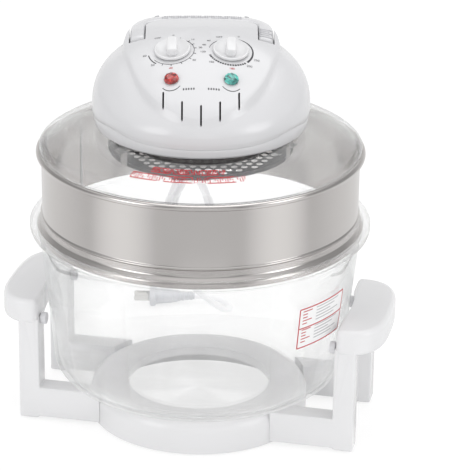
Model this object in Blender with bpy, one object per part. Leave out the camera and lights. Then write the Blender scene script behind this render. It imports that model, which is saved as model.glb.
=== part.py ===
"""Glass convection cooker with a lift-off heater head, built as separate pieces.

Metres, +Z up. The control panel faces -Y, and the origin is on the floor on the bowl's axis.
"""
import math

import bmesh
import bpy
from mathutils import Matrix, Vector

# Clearances, cuts and fineness
SEAT_GAP = 0.0003
RUNNING_GAP = 0.0008
OVERRUN = 0.004
MERGE = 0.000001
PROBE = 0.0005
ROUND_STEPS = 40
SMALL_STEPS = 12

# Stand: the whole stand is turned about the bowl's axis, because bowl and stand are not keyed together
STAND_TURN = math.radians(-12.5)
BASE_RADIUS = 0.109
BASE_HEIGHT = 0.0335
BASE_EYE_RADIUS = 0.072
BASE_WALL = 0.003
BASE_CHAMFER = 0.008
LEG_WIDTH = 0.0205
LEG_DEPTH = 0.022
LEG_SPREAD = 0.0670
ARM_HEIGHT = 0.0335
ARM_LIFT = 0.0020
GRIP_INSET = 0.0010
GRIP_TOP = 0.1300
GRIP_THICKNESS = 0.026
GRIP_REACH = 0.1945
GRIP_HALF_LENGTH = 0.0685
GRIP_SQUARENESS = 3.0
GRIP_POINTS = 20
GRIP_POCKET_DEPTH = 0.017
GRIP_WALL = 0.0045
FRAME_BEVEL = 0.0020
GRIP_BEVEL = 0.004
BUMPER_RADIUS = 0.006
BUMPER_HEIGHT = 0.1075
PAD_RADIUS = 0.0075
PAD_THICKNESS = 0.0012
STAND_LIFT = PAD_THICKNESS + SEAT_GAP

# Glass bowl
LIP_RADIUS = 0.1675
LIP_TOP = 0.2080
LIP_DROP = 0.0110
LIP_WIDTH = 0.0070
LIP_ROUND = 0.0030
NECK_RADIUS = 0.1592
LEG_STAND_OFF = 0.0098
LEG_REACH = NECK_RADIUS + LEG_STAND_OFF
LEDGE_DROP = 0.0085
FOOT_RADIUS = 0.1452
KNEE_HEIGHT = 0.0690
BOWL_WALL = 0.0042
BOWL_SINK = 0.0040
BOWL_SQUARENESS = 2.5
BOWL_CURVE_SHARES = (0.3, 0.6, 0.82, 0.95, 1.0)

# Extender ring
RING_RADIUS = 0.1553
RING_WALL = 0.0010
RING_HEIGHT = 0.0826
CURL_RADIUS = 0.0031
CURL_POINTS = 6
BEAD_HEIGHT = 0.0180
BEAD_PROUD = 0.0014
BEAD_HALF = 0.0022
FLANGE_WIDTH = 0.0050
FLANGE_HEIGHT = 0.0060
SHOULDER_HEIGHT = 0.0100

# Glass lid
LID_RADIUS = 0.1572
LID_WALL = 0.0040
LID_EDGE_HEIGHT = 0.0042
LID_EYE_RADIUS = 0.0975
LID_RISE = 0.0224
LID_STEP_WIDTH = 0.0032
LID_STEP_DROP = 0.0045
LID_CURVE_SHARES = (0.0, 0.12, 0.35, 0.65)

# Head: a dome over a skirt band, on a base circle, with its crown behind the middle
HEAD_BOTTOM = 0.3076
SKIRT_FOOT_RADIUS = 0.1025
SKIRT_TOP_RADIUS = 0.1040
SKIRT_HEIGHT = 0.0082
SKIRT_WALL = 0.0025
SKIRT_FLOOR_INSET = 0.0170
SKIRT_FLOOR_LIFT = 0.0012
SKIRT_FLOOR_THICKNESS = 0.0022
SEAM_WAVE = 0.0055
SEAM_WAVE_ANGLE = math.radians(57)
SEAM_WAVE_WIDTH = math.radians(17)
DOME_RADIUS = 0.1054
DOME_SHOULDER = 0.3270
DOME_RISE = 0.0655
DOME_CROWN_BACK = 0.0280
DOME_WALL = 0.0030
DOME_FRONT_POWER = 1.6
DOME_SIDE_POWER = 2.4
DOME_BLEND_START = math.radians(30)
DOME_BLEND_END = math.radians(85)
DECK_BACK_POWER = 4.0
DECK_BOW = 0.3
DECK_BOW_GAIN = 20.0
DECK_BOW_BACK = 0.0300
DECK_DROP_SPAN = 0.0665
DECK_DROP = 0.0029
DECK_BLEND = 0.0015
DECK_SHARE = 0.70
DECK_TIP_SHARE = 0.94
DECK_TIP_ANGLE = math.radians(75)
DECK_STEP = 0.0030
DECK_STEP_SHARE = 0.035
SIDE_DENT = 0.0022
SIDE_DENT_ANGLE = math.radians(62)
SIDE_DENT_WIDTH = math.radians(17)
SIDE_DENT_SHARE = 0.93
SIDE_DENT_SPREAD_SHARE = 0.045
DOME_EDGE_SHARES = (0.35, 0.7, 1.0)
DECK_RING_SHARES = (0.88, 0.7, 0.45, 0.22)
CAVITY_SHARES = (0.97, 0.86, 0.72, 0.58, 0.4)
CAVITY_LEAD_SHARE = 0.12
CAVITY_STEPS = 24

# Vent slots in the panel: places across and heights of the foot of each slot
SLOT_WIDTH = 0.0018
SLOT_PITCH = 0.0177
SLOT_LENGTH = 0.0150
SLOT_BOTTOM = 0.3385
SLOT_RISE_SHARES = (0.0, 0.25, 0.85)
SLOT_FRONT = 0.1150
SLOT_BACK = 0.0600

# Knobs, shafts and the units that they turn
KNOB_SPREAD = 0.0277
KNOB_BACK = -0.0210
KNOB_RADIUS = 0.0172
KNOB_HEIGHT = 0.0058
KNOB_DISH = 0.0014
KNOB_CHAMFER = 0.0016
KNOB_BAR_LENGTH = 0.0240
KNOB_BAR_WIDTH = 0.0100
KNOB_BAR_HEIGHT = 0.0100
KNOB_BAR_BEVEL = 0.0022
SHAFT_RADIUS = 0.0030
SHAFT_IN_KNOB = 0.0085
SHAFT_GAP = 0.00030
SHAFT_LENGTH = 0.0230
BUSHING_RADIUS = 0.0048
UNIT_RADIUS = 0.0165
UNIT_HEIGHT = 0.0200
UNIT_DROP = 0.0068

# Indicator lamps
LAMP_SPREAD = 0.0280
LAMP_BACK = -0.0600
LAMP_RADIUS = 0.0068
LAMP_STEM_RADIUS = 0.0056
LAMP_DOME = 0.0034
LAMP_FLANGE = 0.0010
LAMP_STEM = 0.0120

# Carry handle, its pins and the safety switch that it presses
HANDLE_HALF_SPAN = 0.0620
HANDLE_PIVOT_BACK = 0.0140
HANDLE_BAR_BACK = 0.0580
HANDLE_CORNER = 0.0220
HANDLE_CORNER_STEPS = 5
HANDLE_HALF_WIDTH = 0.0070
HANDLE_THICKNESS = 0.0120
HANDLE_EDGE_SHARE = 0.72
HANDLE_BAR_STEPS = 6
CHANNEL_GAP = 0.0010
TIP_ROOM = 0.0052
BAR_ROOM = 0.0019
BACK_ROOM = 0.0010
CHANNEL_DEPTH = 0.0260
POCKET_HALF_SPAN = 0.0420
POCKET_BACK = 0.0900
POCKET_DEPTH = 0.0200
PIN_RADIUS = 0.0025
PIN_GAP = 0.0003
PIN_END_MARGIN = 0.0022
PIN_SHARE = 0.4
PLUNGER_RADIUS = 0.0020
PLUNGER_BEHIND_PIVOT = 0.0140
SWITCH_LENGTH = 0.0200
SWITCH_WIDTH = 0.0100
SWITCH_HEIGHT = 0.0120

# Heat shield, motor, fans, element and guard
SHIELD_RADIUS = 0.1035
SHIELD_WALL = 0.0012
SHIELD_PAN_RADIUS = 0.0945
SHIELD_FLANGE_DROP = 0.0090
SHIELD_EYE_RADIUS = 0.0042
GASKET_WIDTH = 0.0030
SCREW_RADIUS = 0.0018
SCREW_HEAD_RADIUS = 0.0036
SCREW_HEAD_HEIGHT = 0.0022
SCREW_PLACE_RADIUS = 0.0890
SCREW_COUNT = 3
SCREW_LENGTH = 0.0052
BRACKET_RADIUS = 0.0340
BRACKET_TOP_RADIUS = 0.0270
BRACKET_HEIGHT = 0.0100
BRACKET_WALL = 0.0015
MOTOR_RADIUS = 0.0260
MOTOR_HEIGHT = 0.0160
MOTOR_SHAFT_RADIUS = 0.0025
MOTOR_BORE_GAP = 0.00030
FAN_HUB_RADIUS = 0.0070
COOLING_FAN_RADIUS = 0.0400
COOLING_FAN_BLADES = 8
CONVECTION_FAN_RADIUS = 0.0450
CONVECTION_FAN_BLADES = 6
FAN_DEPTH = 0.0070
FAN_TWIST = math.radians(9)
FAN_GAP = 0.0015
ELEMENT_RADIUS = 0.0640
ELEMENT_TUBE = 0.0040
ELEMENT_DROP = 0.0170
ELEMENT_OPEN_ANGLE = math.radians(38)
ELEMENT_STEPS = 24
BUSH_RADIUS = 0.0070
BUSH_HEIGHT = 0.0080
SENSOR_RADIUS = 0.0025
SENSOR_LENGTH = 0.0280
SENSOR_DROP = 0.0100
SENSOR_PLACE = 0.0780
GUARD_RADIUS = 0.0900
GUARD_DROP = 0.0182
GUARD_WALL = 0.0012
GUARD_RIM = 0.0045
GUARD_HOLE_RADIUS = 0.0048
GUARD_HOLE_SIDES = 5
GUARD_ROW_RADII = (0.0190, 0.0370, 0.0550, 0.0730)
GUARD_ROW_COUNTS = (6, 11, 16, 21)
STRAP_WIDTH = 0.0110
STRAP_THICKNESS = 0.0012
STRAP_FOOT = 0.0085
STRAP_ANGLES = (math.radians(-143), math.radians(-23), math.radians(97))
TERMINAL_LENGTH = 0.0260
TERMINAL_WIDTH = 0.0120
TERMINAL_HEIGHT = 0.0110
TERMINAL_BACK = 0.0660

# Gland, cord, hank and plug
CORD_DIAMETER = 0.0064
GLAND_HEIGHT = 0.3300
GLAND_NECK_RADIUS = 0.0062
GLAND_FLANGE_RADIUS = 0.0085
GLAND_FLANGE = 0.0020
GLAND_SETBACK = 0.0053
GLAND_LENGTH = 0.0300
GLAND_ROOT_RADIUS = 0.0062
GLAND_TIP_RADIUS = 0.0042
GLAND_RIBS = 4
HANK_MIDDLE = (-0.0100, 0.1795, 0.1830)
HANK_HALF_RUN = 0.0400
HANK_REACH = 0.0188
HANK_LAYER_STEP = 0.0072
HANK_RUN_STEP = 0.0038
HANK_WAIST = 0.0120
HANK_WAIST_SPREAD = 0.0240
HANK_STEP_COUNTS = (1, 0, 0, 1, 2)
HANK_CROSSING_SHARE = 0.92
HANK_RUN_POINTS = 8
HANK_TURN_POINTS = 8
TIE_WALL = 0.0016
TIE_HEIGHT = 0.0060
PLUG_LENGTH_SHARES = (0.0, 0.02, 0.13, 0.15, 0.34, 0.5, 0.52, 0.62, 0.64)
PLUG_WIDTH_SHARES = (0.46, 0.5, 0.5, 0.36, 0.33, 0.28, 0.25, 0.235, 0.19)
PLUG_DEPTH_SHARES = (0.46, 0.5, 0.5, 0.42, 0.40, 0.38, 0.36, 0.34, 0.31)
PLUG_LENGTH = 0.0500
PLUG_WIDTH = 0.0330
PLUG_DEPTH = 0.0160
PLUG_SQUARENESS = 3.2
PLUG_CORNERS = 12
PLUG_RIBS = 4
PLUG_TAIL_RADIUS = 0.0040
PLUG_NECK_RADIUS = 0.0056
PLUG_PLACE = (-0.0554, 0.2586)
BLADE_LENGTH = 0.0175
BLADE_WIDTH = 0.0063
BLADE_THICKNESS = 0.0015
BLADE_SPACING = 0.0127
BLADE_CHAMFER = 0.0016

# Places that follow from the sizes above
BOWL_BOTTOM = STAND_LIFT + BASE_HEIGHT - BOWL_SINK
LEDGE_TOP = LIP_TOP - LEDGE_DROP
RING_BOTTOM = LEDGE_TOP + SEAT_GAP
RING_TOP = RING_BOTTOM + RING_HEIGHT
LID_SEAT = RING_TOP + SEAT_GAP
SHIELD_TOP = HEAD_BOTTOM + SKIRT_FLOOR_LIFT - SEAT_GAP
SHIELD_UNDERSIDE = SHIELD_TOP - SHIELD_WALL
SHIELD_FLANGE_TOP = SHIELD_TOP - SHIELD_FLANGE_DROP
SKIRT_FLOOR_TOP = HEAD_BOTTOM + SKIRT_FLOOR_LIFT + SKIRT_FLOOR_THICKNESS


def clear_scene():
    for thing in list(bpy.data.objects):
        bpy.data.objects.remove(thing, do_unlink=True)


def finish(name, colour, roughness, metallic=0.0, glass=0.0):
    """A Principled material with the piece's colour and surface."""
    material = bpy.data.materials.new(name)
    material.use_nodes = True
    shader = material.node_tree.nodes["Principled BSDF"]
    shader.inputs["Base Color"].default_value = (*colour, 1.0)
    shader.inputs["Roughness"].default_value = roughness
    shader.inputs["Metallic"].default_value = metallic
    shader.inputs["Transmission Weight"].default_value = glass
    return material


WHITE = ((0.86, 0.86, 0.87), 0.28)
STEEL = ((0.62, 0.60, 0.59), 0.22, 1.0)
DARK_STEEL = ((0.35, 0.35, 0.35), 0.3, 1.0)
CLEAR = ((0.95, 0.97, 0.97), 0.02, 0.0, 1.0)
RUBBER = ((0.20, 0.20, 0.21), 0.8)
RED_GLASS = ((0.55, 0.02, 0.02), 0.08, 0.0, 0.4)
TEAL_GLASS = ((0.02, 0.48, 0.40), 0.08, 0.0, 0.4)
BLACK = ((0.05, 0.05, 0.05), 0.5)
CERAMIC = ((0.80, 0.78, 0.72), 0.6)


def place(name, mesh, look, parent=None, smooth=math.radians(35)):
    """Makes a mesh into a named object with a material of its own."""
    bmesh.ops.remove_doubles(mesh, verts=mesh.verts[:], dist=MERGE)
    bmesh.ops.recalc_face_normals(mesh, faces=mesh.faces[:])
    data = bpy.data.meshes.new(name)
    mesh.to_mesh(data)
    mesh.free()
    data.shade_smooth()
    data.set_sharp_from_angle(angle=smooth)
    data.materials.append(finish(name, *look))
    piece = bpy.data.objects.new(name, data)
    bpy.context.scene.collection.objects.link(piece)
    piece.parent = parent
    return piece


def hide(guide):
    guide.hide_render = True
    guide.display_type = "WIRE"
    return guide


def combine(target, other, operation):
    """Adds or cuts the shape of a hidden guide object."""
    modifier = target.modifiers.new(other.name, "BOOLEAN")
    modifier.operation = operation
    modifier.object = hide(other)
    return target


def combine_all(target, name, guides, operation="DIFFERENCE"):
    """Cuts away, or adds, a whole group of hidden guide objects in one step."""
    group = bpy.data.collections.new(name)
    bpy.context.scene.collection.children.link(group)
    for guide in guides:
        group.objects.link(hide(guide))
    modifier = target.modifiers.new(name, "BOOLEAN")
    modifier.operation = operation
    modifier.operand_type = "COLLECTION"
    modifier.collection = group
    return target


def round_edges(piece, width, segments=2):
    modifier = piece.modifiers.new("edges", "BEVEL")
    modifier.width = width
    modifier.segments = segments
    modifier.limit_method = "ANGLE"
    return piece


def axis_empty(name, location, rotation=None):
    """An empty on the axis of a joint or of a turned group."""
    empty = bpy.data.objects.new(name, None)
    bpy.context.scene.collection.objects.link(empty)
    empty.location = location
    if rotation is not None:
        empty.rotation_mode = "QUATERNION"
        empty.rotation_quaternion = rotation
    return empty


def turned(name, profile, look, parent=None, steps=ROUND_STEPS):
    """A solid of revolution about Z from a closed outline of (radius, height) points."""
    mesh = bmesh.new()
    corners = [mesh.verts.new((radius, 0, height)) for radius, height in profile]
    edges = []
    for first, second in zip(corners, corners[1:] + corners[:1]):
        if first.co.x > MERGE or second.co.x > MERGE:
            edges.append(mesh.edges.new((first, second)))
    bmesh.ops.spin(mesh, geom=corners + edges, cent=(0, 0, 0), axis=(0, 0, 1),
                   angle=2 * math.pi, steps=steps, use_merge=True)
    bmesh.ops.remove_doubles(mesh, verts=mesh.verts[:], dist=MERGE)
    bmesh.ops.dissolve_degenerate(mesh, edges=mesh.edges[:], dist=MERGE)
    return place(name, mesh, look, parent)


def rod(name, radius, low, high, look, parent=None, steps=SMALL_STEPS):
    return turned(name, [(0, low), (radius, low), (radius, high), (0, high)], look, parent, steps)


def prism(name, outline, low, high, look, parent=None):
    """An outline in plan, extruded between two heights."""
    mesh = bmesh.new()
    face = mesh.faces.new([mesh.verts.new((x, y, low)) for x, y in outline])
    side = bmesh.ops.extrude_face_region(mesh, geom=[face])
    tops = [item for item in side["geom"] if isinstance(item, bmesh.types.BMVert)]
    bmesh.ops.translate(mesh, verts=tops, vec=(0, 0, high - low))
    return place(name, mesh, look, parent)


def block(name, low, high, look, parent=None):
    outline = [(low[0], low[1]), (high[0], low[1]), (high[0], high[1]), (low[0], high[1])]
    return prism(name, outline, low[2], high[2], look, parent)


def lofted(name, rings, look, parent=None, cap_points=None):
    """Skins a list of rings with the same number of points, and closes both ends."""
    mesh = bmesh.new()
    loops = [[mesh.verts.new(point) for point in ring] for ring in rings]
    for lower, upper in zip(loops, loops[1:]):
        for i in range(len(lower)):
            j = (i + 1) % len(lower)
            mesh.faces.new((lower[i], lower[j], upper[j], upper[i]))
    for loop, point in zip((loops[0], loops[-1]), cap_points or (None, None)):
        if point is None:
            mesh.faces.new(loop)
            continue
        pole = mesh.verts.new(point)
        for i in range(len(loop)):
            mesh.faces.new((loop[i], loop[(i + 1) % len(loop)], pole))
    return place(name, mesh, look, parent)


def tube(name, points, diameter, look, resolution=2, parent=None):
    """A round tube along a list of points, with closed ends."""
    curve = bpy.data.curves.new(name, "CURVE")
    curve.dimensions = "3D"
    curve.bevel_depth = 0.5 * diameter
    curve.bevel_resolution = resolution
    curve.use_fill_caps = True
    spline = curve.splines.new("POLY")
    spline.points.add(len(points) - 1)
    for target, point in zip(spline.points, points):
        target.co = (*point, 1.0)
    curve.materials.append(finish(name, *look))
    piece = bpy.data.objects.new(name, curve)
    bpy.context.scene.collection.objects.link(piece)
    piece.parent = parent
    return piece


def smooth_curve(route, spacing):
    """Even points on a smooth curve through the route's points."""
    points = [Vector(point) for point in route]
    ends = [2 * points[0] - points[1]] + points + [2 * points[-1] - points[-2]]
    fine = []
    for a, b, c, d in zip(ends, ends[1:], ends[2:], ends[3:]):
        for step in range(CURVE_FINENESS):
            t = step / CURVE_FINENESS
            fine.append(0.5 * (2 * b + (c - a) * t + (2 * a - 5 * b + 4 * c - d) * t ** 2
                               + (3 * b - a - 3 * c + d) * t ** 3))
    fine.append(points[-1])
    total = sum((q - p).length for p, q in zip(fine, fine[1:]))
    count = max(2, round(total / spacing))
    result, travelled, index = [fine[0]], 0.0, 0
    for number in range(1, count):
        goal = total * number / count
        while travelled + (fine[index + 1] - fine[index]).length < goal:
            travelled += (fine[index + 1] - fine[index]).length
            index += 1
        part = (goal - travelled) / (fine[index + 1] - fine[index]).length
        result.append(fine[index].lerp(fine[index + 1], part))
    return result + [fine[-1]]


def cord_line(route):
    """Even points along a route whose two ends run straight."""
    middle = smooth_curve(route[1:-1], CORD_SPACING_SHARE * CORD_DIAMETER)
    return [Vector(route[0])] + middle + [Vector(route[-1])]


CURVE_FINENESS = 12
CORD_SPACING_SHARE = 2.2


# Stand

def grip_outline():
    """The D of a hand grip in plan: straight along the legs' inner sides, bulging outward."""
    root = LEG_REACH - LEG_WIDTH + GRIP_INSET
    points = []
    for step in range(GRIP_POINTS + 1):
        angle = math.pi * (step / GRIP_POINTS - 0.5)
        along = math.copysign(abs(math.sin(angle)) ** (2 / GRIP_SQUARENESS), math.sin(angle))
        out = abs(math.cos(angle)) ** (2 / GRIP_SQUARENESS)
        points.append((root + (GRIP_REACH - root) * out, GRIP_HALF_LENGTH * along))
    return points


def shrunk(outline, wall):
    """The outline moved inward by about one wall on every side."""
    middle = sum(x for x, _ in outline) / len(outline)
    reach = max(x for x, _ in outline) - middle
    length = max(y for _, y in outline)
    return [(middle + (x - middle) * (reach - wall) / reach, y * (length - wall) / length)
            for x, y in outline]


def leg_and_arm(name, grip_low, end, turn):
    """An L in side view: the leg, and the foot arm that reaches in to the base."""
    inner = LEG_REACH - LEG_WIDTH
    top = grip_low + GRIP_BEVEL + FRAME_BEVEL
    outline = [
        (0.5 * BASE_RADIUS, STAND_LIFT + ARM_LIFT), (inner, STAND_LIFT + ARM_LIFT), (inner + ARM_LIFT, STAND_LIFT),
        (LEG_REACH, STAND_LIFT), (LEG_REACH, top), (inner, top), (inner, STAND_LIFT + ARM_HEIGHT),
        (0.5 * BASE_RADIUS, STAND_LIFT + ARM_HEIGHT),
    ]
    front, back = sorted((end * (LEG_SPREAD - LEG_DEPTH), end * LEG_SPREAD))
    limb = prism(name, outline, -back, -front, WHITE, turn)
    limb.rotation_euler = (math.pi / 2, 0, 0)
    return round_edges(limb, FRAME_BEVEL)


def side_frame(name, side, stand):
    """Two legs, their foot arms and the hand grip of one side, as one moulding."""
    turn = axis_empty(name + "_side", (0, 0, 0), Matrix.Rotation(0 if side > 0 else math.pi, 4, "Z").to_quaternion())
    turn.parent = stand
    outline = grip_outline()
    low = GRIP_TOP - GRIP_THICKNESS
    frame = round_edges(prism(name, outline, low, GRIP_TOP, WHITE, turn), GRIP_BEVEL)
    limbs = [leg_and_arm(f"{name}_limb", low, end, turn) for end in (-1, 1)]
    combine_all(frame, f"{name}_limbs", limbs, "UNION")
    seat = rod(f"{name}_seat", BASE_RADIUS + SEAT_GAP, -OVERRUN, low - OVERRUN, WHITE, turn, ROUND_STEPS)
    hollow = rod(f"{name}_bowl_room", bowl_radius(GRIP_TOP) + 3 * RUNNING_GAP, low - OVERRUN, GRIP_TOP + OVERRUN,
                 WHITE, turn, ROUND_STEPS)
    pocket = prism(f"{name}_finger_pocket", shrunk(outline, 2 * GRIP_WALL), low - OVERRUN,
                   low + GRIP_POCKET_DEPTH, WHITE, turn)
    keep = LEG_SPREAD - LEG_DEPTH - GRIP_WALL
    between = block(f"{name}_between_legs", (0, -keep, low - 2 * OVERRUN), (GRIP_REACH, keep, GRIP_TOP), WHITE, turn)
    combine(pocket, between, "INTERSECT")
    combine_all(frame, f"{name}_cuts", (seat, hollow, pocket))
    return turn


def bumpers(stand):
    """Four round bumpers on the legs' inner sides, which steady the bowl's wall."""
    inner = LEG_REACH - LEG_WIDTH
    across = LEG_SPREAD - 0.5 * LEG_DEPTH
    near = across - BUMPER_RADIUS
    room = bowl_radius(BUMPER_HEIGHT + BUMPER_RADIUS) + RUNNING_GAP
    tip = math.sqrt(room ** 2 - near ** 2)
    for number, (side, end) in enumerate(((-1, -1), (1, -1), (1, 1), (-1, 1)), start=1):
        piece = rod(f"bowl_bumper_{number}", BUMPER_RADIUS, tip, inner - SEAT_GAP, RUBBER, stand)
        piece.rotation_euler = (0, side * math.pi / 2, 0)
        piece.location = (0, end * across, BUMPER_HEIGHT)


def foot_pads(stand):
    reach = LEG_REACH - 0.5 * LEG_WIDTH
    across = LEG_SPREAD - 0.5 * LEG_DEPTH
    for number, (side, end) in enumerate(((-1, -1), (1, -1), (1, 1), (-1, 1)), start=1):
        pad = rod(f"foot_pad_{number}", PAD_RADIUS, 0, PAD_THICKNESS, RUBBER, stand)
        pad.location = (side * reach, end * across, 0)


def stand_base(stand):
    """The round base: an open moulding whose top carries the bowl's bottom."""
    top = STAND_LIFT + BASE_HEIGHT
    shelf = BASE_RADIUS - 1.5 * BASE_CHAMFER
    eye = BASE_EYE_RADIUS
    rim = bowl_bottom_height(shelf) - SEAT_GAP
    inner_top = bowl_bottom_height(eye) - SEAT_GAP
    middle = 0.5 * (shelf + eye)
    rest = bowl_bottom_height(middle) - SEAT_GAP
    profile = [
        (BASE_RADIUS, STAND_LIFT), (BASE_RADIUS, top - 1.6 * BASE_CHAMFER),
        (BASE_RADIUS - 0.16 * BASE_CHAMFER, top - BASE_CHAMFER), (BASE_RADIUS - 0.6 * BASE_CHAMFER, top - 0.3 * BASE_CHAMFER),
        (shelf, min(top, rim)), (middle, rest), (eye, inner_top),
        (eye, inner_top - 3 * BASE_WALL), (eye + BASE_WALL, inner_top - 3 * BASE_WALL),
        (eye + BASE_WALL, inner_top - BASE_WALL), (middle, inner_top - BASE_WALL), (shelf - BASE_WALL, inner_top - BASE_WALL),
        (BASE_RADIUS - BASE_WALL, top - 2.2 * BASE_CHAMFER), (BASE_RADIUS - BASE_WALL, STAND_LIFT),
    ]
    return turned("stand_base", profile, WHITE, stand)


# Bowl, ring and glass lid

def bowl_curve(inset):
    """Outline of the bowl below its knee, from the wall to the middle of the bottom."""
    reach = FOOT_RADIUS - inset
    drop = KNEE_HEIGHT - BOWL_BOTTOM - inset
    return [(reach * max(0.0, 1 - share ** BOWL_SQUARENESS) ** (1 / BOWL_SQUARENESS), KNEE_HEIGHT - drop * share)
            for share in BOWL_CURVE_SHARES]


def bowl_bottom_height(radius):
    """Height of the bowl's underside at a radius, along the straight facets that it is made of."""
    curve = [(FOOT_RADIUS, KNEE_HEIGHT)] + bowl_curve(0)
    for (far, high), (near, low) in zip(curve, curve[1:]):
        if near <= radius <= far:
            return low + (high - low) * (radius - near) / (far - near)
    return BOWL_BOTTOM


def bowl_radius(height):
    """Outer radius of the bowl's wall above its knee."""
    neck_height = LIP_TOP - LIP_DROP
    share = (height - KNEE_HEIGHT) / (neck_height - KNEE_HEIGHT)
    return FOOT_RADIUS + (NECK_RADIUS - FOOT_RADIUS) * share


def glass_bowl():
    neck = LIP_TOP - LIP_DROP
    inner_lip = LIP_RADIUS - LIP_WIDTH
    lip = [
        (NECK_RADIUS, neck), (LIP_RADIUS - 0.5 * LIP_ROUND, neck + LIP_ROUND), (LIP_RADIUS, neck + 2 * LIP_ROUND),
        (LIP_RADIUS - 0.3 * LIP_ROUND, LIP_TOP - 0.3 * LIP_ROUND), (LIP_RADIUS - LIP_ROUND, LIP_TOP),
        (inner_lip + 0.5 * LIP_ROUND, LIP_TOP), (inner_lip, LIP_TOP - 0.6 * LIP_ROUND), (inner_lip, LEDGE_TOP),
        (NECK_RADIUS - BOWL_WALL, LEDGE_TOP), (NECK_RADIUS - BOWL_WALL, neck),
    ]
    outer = [(FOOT_RADIUS, KNEE_HEIGHT)] + bowl_curve(0)
    inner = [(FOOT_RADIUS - BOWL_WALL, KNEE_HEIGHT)] + bowl_curve(BOWL_WALL)
    return turned("glass_bowl", outer[::-1] + lip + inner, CLEAR)


def extender_ring():
    """A straight steel wall with a rolled rim, one bead and a flange that seats in the bowl's lip."""
    inside = RING_RADIUS - RING_WALL
    centre = (inside + CURL_RADIUS, RING_TOP - CURL_RADIUS)
    curl = []
    for step in range(CURL_POINTS):
        angle = math.pi * (1 - 1.35 * step / (CURL_POINTS - 1))
        curl.append((centre[0] + CURL_RADIUS * math.cos(angle), centre[1] + CURL_RADIUS * math.sin(angle)))
    bead = RING_BOTTOM + BEAD_HEIGHT
    flange = RING_RADIUS + FLANGE_WIDTH
    profile = [(inside, RING_BOTTOM)] + curl + [
        (RING_RADIUS, centre[1] - 1.2 * CURL_RADIUS), (RING_RADIUS, bead + BEAD_HALF), (RING_RADIUS + BEAD_PROUD, bead),
        (RING_RADIUS, bead - BEAD_HALF), (RING_RADIUS, RING_BOTTOM + SHOULDER_HEIGHT),
        (flange - 0.3 * FLANGE_WIDTH, RING_BOTTOM + FLANGE_HEIGHT), (flange, RING_BOTTOM + 0.6 * FLANGE_HEIGHT),
        (flange, RING_BOTTOM),
    ]
    return turned("extender_ring", profile, STEEL)


def lid_height(radius):
    """Height of the glass lid's outer face: steep at its edge, flatter towards the head."""
    share = (LID_RADIUS - radius) / (LID_RADIUS - LID_EYE_RADIUS)
    foot = LID_SEAT + LID_EDGE_HEIGHT
    return foot + (LID_SEAT + LID_RISE - foot) * math.sin(0.5 * math.pi * min(1.0, max(0.0, share)) ** 0.8)


def glass_lid():
    radii = [LID_RADIUS + (LID_EYE_RADIUS - LID_RADIUS) * share for share in LID_CURVE_SHARES] + [LID_EYE_RADIUS]
    outer = [(radius, lid_height(radius)) for radius in radii]
    step = RING_RADIUS - RING_WALL - RUNNING_GAP
    inner = [(radius, lid_height(radius) - LID_WALL) for radius in radii[2:]]
    foot = [
        (step - LID_STEP_WIDTH, lid_height(step - LID_STEP_WIDTH) - LID_WALL),
        (step - LID_STEP_WIDTH, LID_SEAT - LID_STEP_DROP), (step, LID_SEAT - LID_STEP_DROP), (step, LID_SEAT),
        (LID_RADIUS, LID_SEAT),
    ]
    return turned("glass_lid", outer + inner[::-1] + foot, CLEAR)


def lid_gasket():
    low = LID_SEAT + LID_RISE + SEAT_GAP
    high = HEAD_BOTTOM + SKIRT_FLOOR_LIFT - SEAT_GAP
    inner = LID_EYE_RADIUS - 0.5 * GASKET_WIDTH
    profile = [(inner, low), (inner + GASKET_WIDTH, low), (inner + GASKET_WIDTH, high), (inner, high)]
    return turned("lid_gasket", profile, RUBBER)


# Head

def seam_height(angle):
    """Height of the seam between skirt and cover at an angle from the front."""
    away = (abs(angle) - SEAM_WAVE_ANGLE) / SEAM_WAVE_WIDTH
    return HEAD_BOTTOM + SKIRT_HEIGHT + SEAM_WAVE * math.exp(-away ** 2)


def front_angle(x, y):
    return math.atan2(x, -y)


def deck_edge(angle):
    """Share of the way from crown to base circle at which the raised deck ends."""
    turn = min(abs(angle), DECK_TIP_ANGLE) / DECK_TIP_ANGLE
    return DECK_SHARE + (DECK_TIP_SHARE - DECK_SHARE) * 0.5 * (1 + math.cos(math.pi * turn))


def crown_line(y, inset):
    """Height of the deck's middle line over the shoulder: steep towards the front, flat to its back edge."""
    rise = DOME_RISE - inset
    if y < DOME_CROWN_BACK:
        share = (DOME_CROWN_BACK - y) / (DOME_CROWN_BACK + DOME_RADIUS)
        return rise * max(0.0, 1 - share ** DOME_FRONT_POWER) ** (1 / DOME_FRONT_POWER)
    share = (y - DOME_CROWN_BACK) / (DOME_RADIUS - DOME_CROWN_BACK)
    return rise * max(0.0, 1 - share ** DECK_BACK_POWER) ** (1 / DECK_BACK_POWER)


def flank_height(angle, share, inset):
    """Height of the plain dome over the shoulder."""
    turn = (abs(angle) - DOME_BLEND_START) / (DOME_BLEND_END - DOME_BLEND_START)
    turn = min(1.0, max(0.0, turn))
    power = DOME_FRONT_POWER + (DOME_SIDE_POWER - DOME_FRONT_POWER) * turn * turn * (3 - 2 * turn)
    return (DOME_RISE - inset) * max(0.0, 1 - share ** power) ** (1 / power)


def deck_height(x, y, flank, inset):
    """Height of the deck over the shoulder: bowed from side to side, and never less than a step above the dome."""
    bow = (DECK_BOW + DECK_BOW_GAIN * max(0.0, DECK_BOW_BACK - y)) * x ** 2
    level = crown_line(y, inset) - bow - DECK_DROP * (x / DECK_DROP_SPAN) ** 4
    return DECK_STEP + 0.5 * (level + flank + math.hypot(level - flank, DECK_BLEND))


def plan_place(angle, share, inset):
    """Place in plan of a point of the dome."""
    radius = (DOME_RADIUS - inset) * share
    return radius * math.sin(angle), DOME_CROWN_BACK * (1 - share) - radius * math.cos(angle)


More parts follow.
